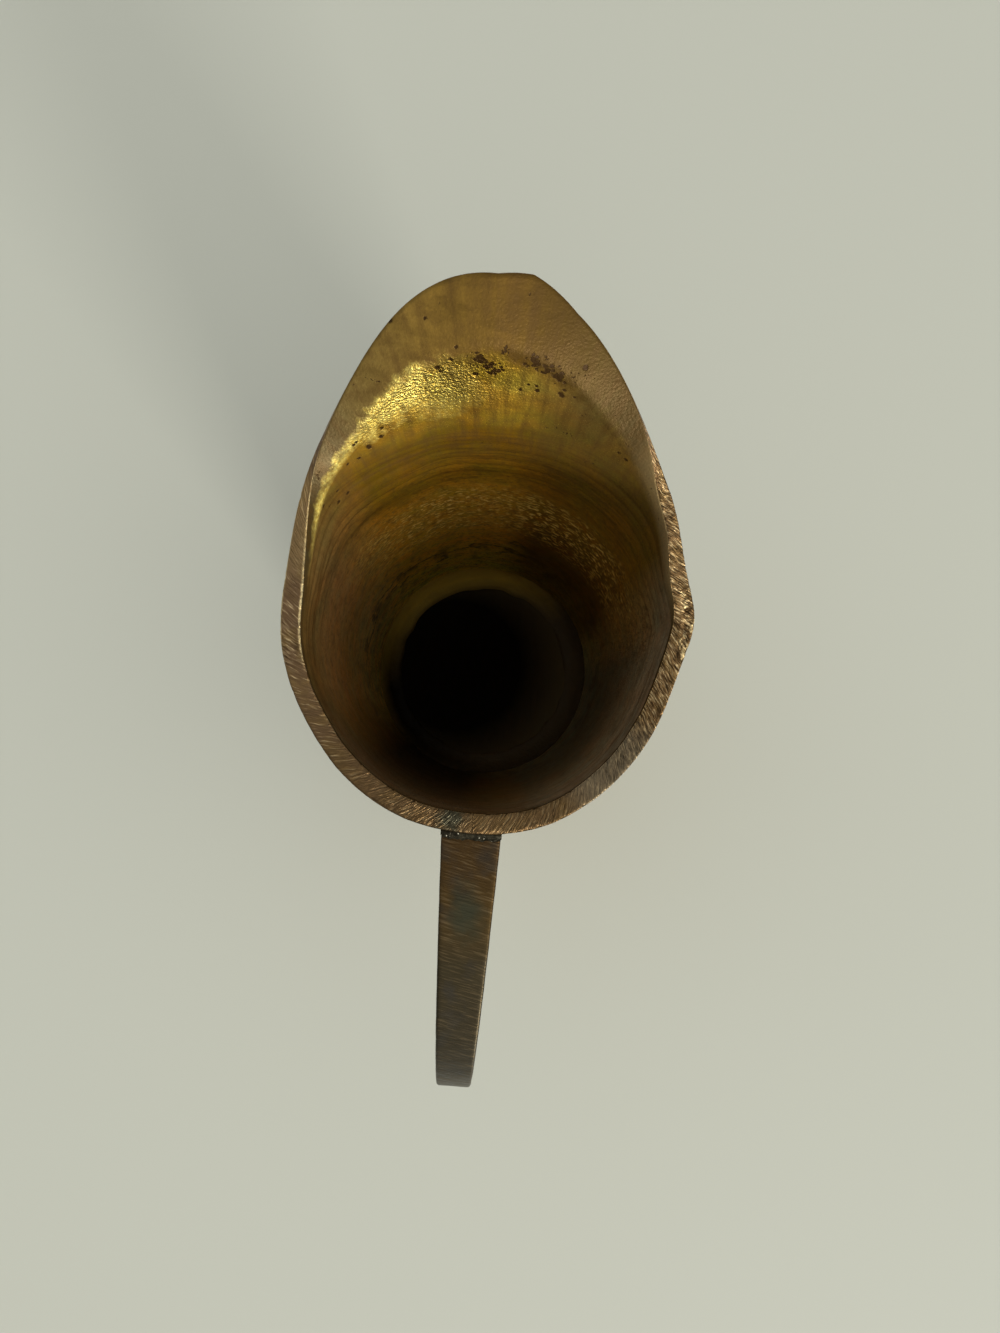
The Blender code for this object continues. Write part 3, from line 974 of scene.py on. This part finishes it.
def mark_mask(g, place, start, end, half_width):
    """1 within the half width of a straight line."""
    line = end - start
    offset = g.vectors("SUBTRACT", place, start)
    along = g.vectors("DOT_PRODUCT", offset, line)
    share = g.maths("DIVIDE", along, line.length_squared, clamp=True)
    away = g.vectors("DISTANCE", offset, g.vectors("SCALE", line, share))
    return g.between(away, half_width * 0.6, half_width, 1.0, 0.0)


def strewn(draw, field, sizes):
    """Chance places in a field, as azimuth and height, each with a size."""
    azimuth, azimuth_reach, height, height_reach, count = field
    for _ in range(count):
        aside, above, size = draw.uniform((-1.0, -1.0, sizes[0]), (1.0, 1.0, sizes[1]))
        yield azimuth + aside * azimuth_reach, height + above * height_reach, size


def pit_mask(g):
    """Small dark pits, thinly spread over the wall and crowded at a few places, and a few scratches."""
    shaken = g.add("ShaderNodeTexNoise", {"Vector": g.place, "Scale": 2600.0}).outputs["Color"]
    shaken = g.vectors("SCALE", g.vectors("SUBTRACT", shaken, (0.5, 0.5, 0.5)), 0.0006)
    bent = g.vectors("ADD", g.place, shaken)
    cells = g.add("ShaderNodeTexVoronoi", {"Vector": bent, "Scale": 1500.0, "Randomness": 1.0})
    size = g.between(g.noise(260.0), 0.60, 0.74, 0.0, 0.26)
    for azimuth, height, azimuth_step, height_step, reach in PIT_CROWDS:
        for step in (-1, 0, 1):
            spot = inside_place(azimuth + step * azimuth_step, height + step * height_step)
            away = g.away(spot)
            size = g.maths("MAXIMUM", size, g.between(away, 0.3 * reach * MM, 1.5 * reach * MM, 0.72, 0.0))
    pits = g.between(g.maths("SUBTRACT", cells.outputs["Distance"], size), -0.10, 0.06, 1.0, 0.0)
    draw = np.random.default_rng(MARK_SEED)
    for field in PIT_FIELDS:
        for azimuth, height, radius in strewn(draw, field, PIT_RADII):
            away = g.vectors("DISTANCE", bent, inside_place(azimuth, height))
            pit = g.between(away, 0.9 * radius * MM, 1.5 * radius * MM, 1.0, 0.0)
            pits = g.maths("MAXIMUM", pits, pit)
    for *field, run, rise in SCRATCH_FIELDS:
        for azimuth, height, half_width in strewn(draw, field, SCRATCH_HALF_WIDTHS):
            start, end = inside_place(azimuth, height), inside_place(azimuth + run, height + rise)
            pits = g.maths("MAXIMUM", pits, mark_mask(g, bent, start, end, half_width * MM))
    return pits


def painted_highlight_mask(g, climb):
    """Where a highlight is painted on the bend: a strip up the left of the mouth, widening where it meets the
    lip.
    """
    toward = g.facing(PAINTED_HIGHLIGHT_SIDE, 0.66, 0.94)
    narrower = g.facing(PAINTED_HIGHLIGHT_SIDE, 0.80, 0.95)
    highlight = g.times(toward, g.between(climb, 0.80, 0.87), narrower)
    uneven = g.wobble(500.0, 0.006)
    for azimuth, height, reach, strength in PAINTED_HIGHLIGHT_PATCHES:
        away = g.away(inside_place(azimuth, height))
        away = g.maths("ADD", away, uneven)
        highlight = g.maths("MAXIMUM", highlight, g.between(away, 0.35 * reach * MM, reach * MM, strength, 0.0))
    return highlight


def inside_brass():
    """The tube's inside: aged brass, bare and grainy below the bend, with a dull lip, a painted highlight on
    the bend, and colours by height and side that stand in for how light falls.
    """
    g = new_material("inside_brass", metallic=0.3, specular=0.10)
    level = g.level()
    height = g.maths("DIVIDE", level, WHOLE_HEIGHT)
    climb, around = g.attribute("climb"), g.attribute("around")
    lowered = g.times(g.facing(LOWERED_SIDE, 0.92, 0.995), 0.04)
    ragged = g.wobble(420.0, 0.12, 4.0, 0.6)
    edge = g.maths("ADD", g.maths("ADD", climb, lowered), ragged)
    lip = g.between(edge, BEND_CLIMB - 0.025, BEND_CLIMB + 0.030)
    below_lip = g.maths("SUBTRACT", 1.0, lip)
    bare_side = g.facing(BARE_SIDE, 0.62, 0.90)
    bare = g.times(g.between(height, 0.85, 0.905), below_lip, bare_side)

    # Colours by height, carrying painted light and shade
    g.colour = g.ramp(g.maths("ADD", height, g.wobble(55.0, 0.10)), DEPTH_COLOURS_WITH_PAINTED_LIGHT)
    # Painted shade and greyer tones on the sides, over the colours by height
    for side, begins, full, stops in SIDE_COLOURS_WITH_PAINTED_SHADE:
        g.lay(g.ramp(height, stops), g.facing(side, begins, full))
    tint = g.between(g.noise(170.0, 4.0, 0.6), 0.35, 0.65)
    g.colour = g.mixed(1.0, g.colour, g.mixed(tint, REDDISH_TINT, OLIVE_TINT), "MULTIPLY")
    # Painted highlight on the bend, grainy with painted sparkle
    sparkle = g.between(g.noise(2600.0, 3.0, 0.6), 0.36, 0.66)
    highlight_colour = g.mixed(sparkle, PAINTED_HIGHLIGHT_COLOUR, PAINTED_HIGHLIGHT_BRIGHT_COLOUR)
    g.lay(highlight_colour, painted_highlight_mask(g, climb))
    reach_round = LIP_SIDE * MOUTH_RADIUS
    g.lay(g.ramp(g.between(around, -reach_round, reach_round), LIP_COLOURS), lip)
    wiped = g.between(g.noise((170.0, 420.0, 420.0), 5.0, 0.65), 0.44, 0.62)
    g.lay(LIP_DARK_COLOUR, wiped, lip, 0.40)

    upper = g.between(height, 0.72, 0.84)
    streaks = g.noise((1000.0, 110.0, 1.0), 3.0, place=g.flat(around, level))
    g.lay(STREAK_COLOUR, g.between(streaks, 0.40, 0.70, 0.0, 0.55), upper)
    stains = g.noise(420.0, 4.0, 0.6)
    g.lay(STREAK_COLOUR, g.between(stains, 0.45, 0.70, 0.0, 0.45))
    speckle = g.between(g.noise(1500.0), 0.50, 0.66, 0.0, 0.45)
    g.lay(STREAK_COLOUR, speckle, g.maths("SUBTRACT", 1.0, upper))
    crossing = g.between(g.apart(g.noise((20.0, 20.0, 420.0)), 0.5), 0.01, 0.06, 1.0, 0.0)
    g.lay(LINE_COLOUR, crossing, g.band(level, LINE_BAND), 0.55)
    blotches = g.between(g.noise((230.0, 230.0, 110.0), 3.0), 0.50, 0.62)
    g.lay(BLOTCH_COLOUR, blotches, g.band(level, BLOTCH_BAND), 0.40)
    glints = g.between(g.noise((900.0, 900.0, 1400.0)), 0.55, 0.61)
    glint_side = g.facing(GLINT_SIDE, 0.15, 0.75)
    g.lay(GLINT_COLOUR, glints, g.band(level, GLINT_BAND), glint_side)
    crackle = g.between(g.apart(g.noise(520.0), 0.5), 0.01, 0.05, 1.0, 0.0)
    crackle_side = g.facing(CRACKLE_SIDE, 0.80, 0.97)
    g.lay(STREAK_COLOUR, crackle, g.band(level, CRACKLE_BAND), crackle_side, 0.65)
    wavy_level = g.maths("ADD", level, g.wobble(130.0, 0.050, 4.0, 0.6))
    tide = g.between(g.apart(wavy_level, TIDE_HEIGHT), 0.0004, 0.0030, 0.75, 0.0)
    g.lay(BLOTCH_COLOUR, tide, g.facing(TIDE_SIDE, 0.3, 0.7))

    rubbed_side = g.facing(RUBBED_SIDE, 0.90, 0.985)
    g.lay(RUBBED_COLOUR, rubbed_side, g.between(climb, 0.80, 0.97, 0.0, 0.7))
    # Painted shade on the right of the bend, in the lip's dark colour
    shade_side = g.facing(PAINTED_SHADE_SIDE, 0.955, 0.995)
    g.lay(LIP_DARK_COLOUR, shade_side, g.between(height, 0.83, 0.88), 0.30)
    pits = pit_mask(g)
    g.lay(PIT_COLOUR, pits)

    roughness = g.between(g.noise(300.0, 3.0), 0.3, 0.7, 0.40, 0.52)
    roughness = g.maths("SUBTRACT", roughness, g.times(bare, 0.10))
    grain = g.times(g.noise(2600.0, 3.0), g.between(bare, 0.0, 1.0, 0.20, 0.65))
    normal = g.bump(grain, 0.00040)
    normal = g.bump(g.maths("SUBTRACT", 0.0, pits), 0.00006, normal)
    return g.finished(roughness, normal, g.between(bare, 0.0, 1.0, 0.30, 0.95))


RIM_COLOUR = (0.205, 0.124, 0.064)
CHISELLED_COLOUR = (0.25, 0.150, 0.062)
RIM_PATINA_COLOUR = (0.10, 0.058, 0.028)
RIM_GOLDEN_COLOUR = (0.26, 0.165, 0.055)
RIM_SCRATCH_COLOUR = (0.72, 0.54, 0.29)
RIM_VALLEY_COLOUR = (0.045, 0.026, 0.011)
# Bright burrs and lumps: partly bare brass, partly painted glints
BURR_GLINT_COLOUR = (1.00, 0.80, 0.42)
BURR_GLINT_SIDE = -78
CRUMPLED_SIDE = 85
STROKE_SKEW = 0.8
SPLASH_COLOUR = (0.060, 0.057, 0.037)
SPLASH_DARK_COLOUR = (0.022, 0.022, 0.014)
SPLASH_PLACE = (-0.0031, -0.0284, 0.1150)
SPLASH_REACH = 0.0027

# Sides of the rim with a colour of their own: gilt, painted shade over the front by the handle, and greyed:
# azimuth in degrees, the cosines where each begins and is full, how strong, and the colour
RIM_SIDES = (
    (-67, 0.965, 0.995, 0.5, (0.36, 0.235, 0.100)),
    # Painted shade over the front of the rim
    (180, 0.20, 0.90, 0.78, (0.070, 0.042, 0.017)),
    (134, 0.95, 0.99, 0.5, (0.16, 0.135, 0.092)),
)


def rim_brass():
    """The filed rim: pinkish brown on the left, golden and ridged where it is chiselled."""
    g = new_material("rim_brass")
    chiselled, across = g.attribute("chiselled"), g.attribute("across")
    worked = g.maths("MAXIMUM", chiselled, g.attribute("filed"))
    inward = g.times(across, WALL)
    slanted = g.maths("ADD", g.attribute("around"), g.times(inward, STROKE_SKEW))
    slanted = g.maths("ADD", slanted, g.wobble(500.0, 0.0008, 2.0))
    face = g.flat(slanted, inward)
    g.colour = g.mixed(chiselled, RIM_COLOUR, CHISELLED_COLOUR)
    patina = g.between(g.noise(160.0, 3.0), 0.35, 0.75, 0.0, 0.55)
    g.lay(RIM_PATINA_COLOUR, patina)
    golden = g.between(g.noise(330.0, 3.0), 0.45, 0.62)
    g.lay(RIM_GOLDEN_COLOUR, golden, 0.5)
    strokes = g.noise((2900.0, 420.0, 1.0), 3.0, place=face)
    g.lay(RIM_PATINA_COLOUR, g.between(strokes, 0.42, 0.58, 0.45, 0.0))
    g.lay(RIM_SCRATCH_COLOUR, g.between(strokes, 0.58, 0.70, 0.0, 0.7))
    ridges = g.noise((2700.0, 620.0, 1.0), place=face)
    g.lay(RIM_VALLEY_COLOUR, g.between(ridges, 0.38, 0.48, 0.85, 0.0), worked)
    g.lay(RIM_SCRATCH_COLOUR, g.between(ridges, 0.54, 0.66, 0.0, 0.7), worked)
    crumpled_side = g.facing(CRUMPLED_SIDE, 0.975, 0.992)
    crumpled = g.times(crumpled_side, g.between(across, 0.45, 0.65, 1.0, 0.0))
    lumps = g.noise(1300.0)
    # Dark and bright lumps on the right, the bright ones partly painted glints
    g.lay(RIM_VALLEY_COLOUR, crumpled, g.between(lumps, 0.38, 0.48, 0.55, 0.0))
    g.lay(BURR_GLINT_COLOUR, crumpled, g.between(lumps, 0.52, 0.66, 0.0, 0.55))
    # Bright burrs at the edges, laid only on the left: partly bare brass, partly painted glints
    burr_glints = g.between(g.noise((900.0, 1500.0, 1.0), 4.0, 0.7, face), 0.38, 0.60, 0.0, 0.9)
    at_edge = g.maths("MAXIMUM", g.between(across, 0.86, 0.95), g.between(across, 0.08, 0.02))
    at_edge = g.times(at_edge, g.facing(BURR_GLINT_SIDE, 0.86, 0.97))
    g.lay(BURR_GLINT_COLOUR, burr_glints, at_edge)
    # Gilt, painted shade at the front, and greyed sides
    for side, begins, full, much, paint in RIM_SIDES:
        g.lay(paint, g.facing(side, begins, full), much)
    from_splash = g.away(SPLASH_PLACE)
    from_splash = g.maths("ADD", from_splash, g.wobble(800.0, 0.0030))
    splash = g.between(from_splash, SPLASH_REACH * 0.45, SPLASH_REACH, 0.9, 0.0)
    lumpy = g.noise(1500.0)
    splash_colour = g.mixed(g.between(lumpy, 0.4, 0.7), SPLASH_DARK_COLOUR, SPLASH_COLOUR)
    g.lay(splash_colour, splash)
    normal = g.bump(strokes, 0.00020)
    normal = g.bump(g.times(ridges, worked), 0.00050, normal)
    normal = g.bump(g.times(lumps, crumpled), 0.00040, normal)
    normal = g.bump(g.times(splash, lumpy), 0.00020, normal)
    return g.finished(g.between(strokes, 0.3, 0.7, 0.28, 0.5), normal)


OUTSIDE_COLOUR = (0.34, 0.215, 0.080)
OUTSIDE_PATINA_COLOUR = (0.20, 0.122, 0.048)
OUTSIDE_BRUSHED_COLOUR = (0.48, 0.33, 0.13)
FOOT_COLOUR = (0.08, 0.05, 0.025)


def outside_brass():
    """The planished outside, brown with age, brighter on its high places."""
    g = new_material("outside_brass")
    patina = g.noise(70.0, 5.0, 0.6)
    g.colour = g.mixed(g.between(patina, 0.30, 0.75), OUTSIDE_COLOUR, OUTSIDE_PATINA_COLOUR)
    brushed = g.noise((60.0, 60.0, 1600.0), 3.0)
    g.lay(OUTSIDE_BRUSHED_COLOUR, g.between(brushed, 0.55, 0.8, 0.0, 0.35))
    g.lay(FOOT_COLOUR, g.between(g.level(), 0.0, 0.012, 0.5, 0.0))
    normal = g.bump(g.noise(900.0, 3.0), 0.00008)
    normal = g.bump(brushed, 0.00006, normal)
    return g.finished(g.between(patina, 0.3, 0.7, 0.30, 0.48), normal)


# Strap colours along its path, as a share of a little more than its length
STRAP_PATH = 0.16
STRAP_COLOURS = (
    (0.0, 0.068, 0.038, 0.015),
    (0.07, 0.066, 0.041, 0.015),
    (0.12, 0.042, 0.033, 0.018),
    (0.25, 0.042, 0.034, 0.021),
    (0.45, 0.115, 0.10, 0.070),
    (1.0, 0.14, 0.10, 0.055),
)
STRAP_SCRATCH_COLOUR = (0.22, 0.155, 0.080)
STRAP_STAIN_COLOUR = (0.040, 0.036, 0.030)
STRAP_BRUSH_TURN = math.radians(13)
SMUDGE_COLOUR = (0.038, 0.041, 0.027)
SMUDGE_PLACE = (0.0000, -0.0418, 0.1130)
SMUDGE_SQUEEZE = (1.0, 0.62, 1.0)


def strap_brass():
    """The strap: dark brown at its root, greyer further on, brushed across."""
    g = new_material("strap_brass_brushed")
    along = g.attribute("along")
    g.colour = g.ramp(g.maths("DIVIDE", along, STRAP_PATH), STRAP_COLOURS)
    turn = {"Vector": g.place, "Rotation": (0.0, 0.0, STRAP_BRUSH_TURN)}
    brushed = g.noise((330.0, 3600.0, 500.0), 3.0, place=g.add("ShaderNodeMapping", turn).outputs[0])
    by_root = g.between(along, 0.006, 0.022, 0.42, 0.22)
    g.lay(STRAP_SCRATCH_COLOUR, g.between(brushed, 0.52, 0.70), by_root)
    stains = g.between(g.noise(260.0, 4.0), 0.50, 0.70, 0.0, 0.6)
    g.lay(STRAP_STAIN_COLOUR, stains)
    offset = g.vectors("MULTIPLY", g.vectors("SUBTRACT", g.place, SMUDGE_PLACE), SMUDGE_SQUEEZE)
    away = g.maths("ADD", g.vectors("LENGTH", offset), g.wobble(500.0, 0.003))
    g.lay(SMUDGE_COLOUR, g.between(away, 0.0008, 0.0034, 0.85, 0.0))
    return g.finished(g.between(brushed, 0.3, 0.7, 0.34, 0.52), g.bump(brushed, 0.00010))


# The solder round the floor, from the floor up to the wall: painted shade at the floor, rising to bright
# painted light up the wall
FLOOR_SOLDER_COLOURS = (
    (0.000, 0.010, 0.007, 0.003),
    (0.010, 0.100, 0.070, 0.014),
    (0.050, 0.400, 0.280, 0.050),
    (0.200, 0.700, 0.480, 0.080),
    (0.700, 0.740, 0.500, 0.085),
)
SOLDER_DARK_COLOUR = (0.012, 0.010, 0.006)
SOLDER_COLOUR = (0.032, 0.028, 0.017)
SOLDER_BRIGHT_COLOUR = (0.75, 0.70, 0.55)
FLOOR_SOLDER_SHADE_COLOUR = (0.115, 0.088, 0.050)
FLOOR_SOLDER_DARK_COLOUR = (0.010, 0.007, 0.002)
DARK_SIDE = -120
FLOOR_SOLDER_SHADED_SIDE = 135


def aged_solder():
    """Dull solder gone dark and slightly green, with bright points; brown with brass inside the vase, where
    painted light lies on its side towards the light and painted shade elsewhere.
    """
    g = new_material("solder_aged", metallic=0.6, specular=0.10)
    level = g.level()
    g.colour = g.ramp(g.between(level, 0.003, 0.009), FLOOR_SOLDER_COLOURS)
    # Painted shade over all but the ring's lit side
    g.lay(FLOOR_SOLDER_SHADE_COLOUR, g.facing(FLOOR_SOLDER_SHADED_SIDE, -0.60, 0.15))
    # Deeper painted shade on the front left, fading up the wall
    fading = g.between(level, 0.0040, 0.0085, 1.0, 0.3)
    g.lay(FLOOR_SOLDER_DARK_COLOUR, g.facing(DARK_SIDE, 0.35, 0.97), fading)
    floor_colour = g.colour
    patina = g.noise(900.0, 4.0, 0.6)
    g.colour = g.mixed(g.between(patina, 0.35, 0.65), SOLDER_DARK_COLOUR, SOLDER_COLOUR)
    g.lay(SOLDER_BRIGHT_COLOUR, g.between(g.noise(1900.0, 1.0), 0.70, 0.76))
    inside = g.between(level, 0.0088, 0.0090, 1.0, 0.0)
    g.lay(floor_colour, inside)
    roughness = g.between(patina, 0.3, 0.7, 0.35, 0.6)
    metallic = g.between(inside, 0.0, 1.0, 0.6, 0.1)
    return g.finished(roughness, g.bump(patina, 0.00020), metallic)


# The floor inside is painted as shade, darkest at one place, with painted light further from it
FLOOR_SHADE_CENTRE = (-0.007, 0.001, 0.003)
SOLE_COLOUR = (0.38, 0.25, 0.095)
SOLE_PATINA_COLOUR = (0.16, 0.10, 0.045)
FLOOR_SHADE_COLOUR = (0.012, 0.010, 0.007)
FLOOR_EDGE_LIGHT_COLOUR = (0.150, 0.118, 0.062)


def floor_brass():
    """The floor disc: painted shade inside, with painted light towards its edge, brushed and stained
    underneath.
    """
    g = new_material("floor_brass", specular=0.0)
    top = g.between(g.level(), 0.0010, 0.0028)
    patina = g.noise(130.0, 5.0, 0.6)
    g.colour = g.mixed(g.between(patina, 0.35, 0.7), SOLE_COLOUR, SOLE_PATINA_COLOUR)
    g.lay(FLOOR_SHADE_COLOUR, top)
    from_shade_centre = g.away(FLOOR_SHADE_CENTRE)
    g.lay(FLOOR_EDGE_LIGHT_COLOUR, g.between(from_shade_centre, 0.0165, 0.0280), top)
    brushed = g.noise((2200.0, 70.0, 70.0), 3.0)
    roughness = g.between(brushed, 0.3, 0.7, 0.32, 0.5)
    metallic = g.between(top, 0.0, 1.0, 1.0, 0.1)
    return g.finished(roughness, g.bump(brushed, 0.00008), metallic)


# Floor and light
STAGE_SIZE = 8.0
STAGE_COLOUR = (0.53, 0.54, 0.475, 1.0)
STAGE_ROUGHNESS = 0.75


def make_stage():
    """A plain pale floor."""
    bpy.ops.mesh.primitive_plane_add(size=STAGE_SIZE)
    floor = bpy.context.object
    floor.name = "studio_floor"
    material = bpy.data.materials.new("studio_floor")
    material.use_nodes = True
    shader = material.node_tree.nodes[SHADER]
    shader.inputs["Base Color"].default_value = STAGE_COLOUR
    shader.inputs["Roughness"].default_value = STAGE_ROUGHNESS
    floor.data.materials.append(material)


# Lights: azimuth, elevation, distance, width, height, power and colour. The key light and the bright side of
# the room are turned with the camera.
KEY_LIGHT = (math.radians(150) - CAMERA_TURN, math.radians(9), 2.4, 0.6, 0.8, 60.0, (1.0, 0.97, 0.90))
FILL_LIGHT = (math.radians(-75), math.radians(28), 1.4, 0.9, 0.6, 1.0, (0.93, 0.96, 1.0))
LIGHT_TARGET = (0.0, 0.0, 0.08)
BRIGHT_SIDE = math.radians(131) - CAMERA_TURN


def make_area_light(name, azimuth, elevation, distance, width, height, power, colour):
    """A soft rectangular light that looks at the mouth of the vase."""
    light = bpy.data.lights.new(name, "AREA")
    light.shape = "RECTANGLE"
    light.size = width
    light.size_y = height
    light.energy = power
    light.color = colour
    lamp = bpy.data.objects.new(name, light)
    bpy.context.scene.collection.objects.link(lamp)
    level = distance * math.cos(elevation)
    place = (level * math.sin(azimuth), level * math.cos(azimuth), distance * math.sin(elevation))
    target = Vector(LIGHT_TARGET)
    lamp.location = target + Vector(place)
    lamp.rotation_euler = (target - lamp.location).to_track_quat("-Z", "Y").to_euler()


# The room's light by elevation, as its sine, and by how far a direction lies towards the bright side
ROOM_BY_HEIGHT = (
    (0.00, 0.20, 0.20, 0.19),
    (0.50, 0.45, 0.45, 0.43),
    (0.88, 1.00, 1.00, 0.95),
    (0.955, 1.00, 1.00, 0.95),
    (0.985, 0.03, 0.03, 0.03),
)
ROOM_BY_SIDE = (
    (0.00, 0.38, 0.39, 0.42),
    (0.40, 0.28, 0.29, 0.30),
    (0.60, 0.30, 0.30, 0.30),
    (0.78, 0.70, 0.69, 0.66),
    (0.90, 1.00, 0.98, 0.94),
)
ROOM_STRENGTH = 2.8


def make_world():
    """A pale room, brighter on one side, and dark straight above, where the camera is held."""
    g = Graph(bpy.data.worlds.new("studio"), "Generated")
    by_height = g.ramp(g.level(), ROOM_BY_HEIGHT)
    side = (math.sin(BRIGHT_SIDE), math.cos(BRIGHT_SIDE), 0.0)
    by_side = g.ramp(g.between(g.vectors("DOT_PRODUCT", g.place, side), -1.0, 1.0), ROOM_BY_SIDE)
    background = g.tree.nodes["Background"]
    g.tree.links.new(g.mixed(1.0, by_height, by_side, "MULTIPLY"), background.inputs["Color"])
    background.inputs["Strength"].default_value = ROOM_STRENGTH
    bpy.context.scene.world = g.owner


def make_camera():
    data = bpy.data.cameras.new("camera")
    data.lens = CAMERA_LENS
    data.sensor_width = CAMERA_SENSOR
    data.sensor_fit = "AUTO"
    data.clip_start = 0.01
    data.clip_end = 50.0
    camera = bpy.data.objects.new("camera", data)
    bpy.context.scene.collection.objects.link(camera)
    turned = Matrix.Rotation(CAMERA_TURN, 4, "Z") @ Matrix.Translation(CAMERA_PLACE)
    camera.matrix_world = turned @ Matrix.Rotation(CAMERA_LEAN, 4, "Y") @ Matrix.Rotation(CAMERA_TILT, 4, "X")
    bpy.context.scene.camera = camera


def dress_vase():
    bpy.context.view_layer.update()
    make_camera()
    make_stage()
    make_area_light("key", *KEY_LIGHT)
    make_area_light("fill", *FILL_LIGHT)
    make_world()
    bpy.context.scene.view_settings.view_transform = "Standard"
    make_body((outside_brass(), rim_brass(), inside_brass()))
    make_strap(strap_brass())
    make_solder(aged_solder())
    floor_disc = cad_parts["floor_disc"]
    floor_disc.data.materials.clear()
    floor_disc.data.materials.append(floor_brass())


dress_vase()
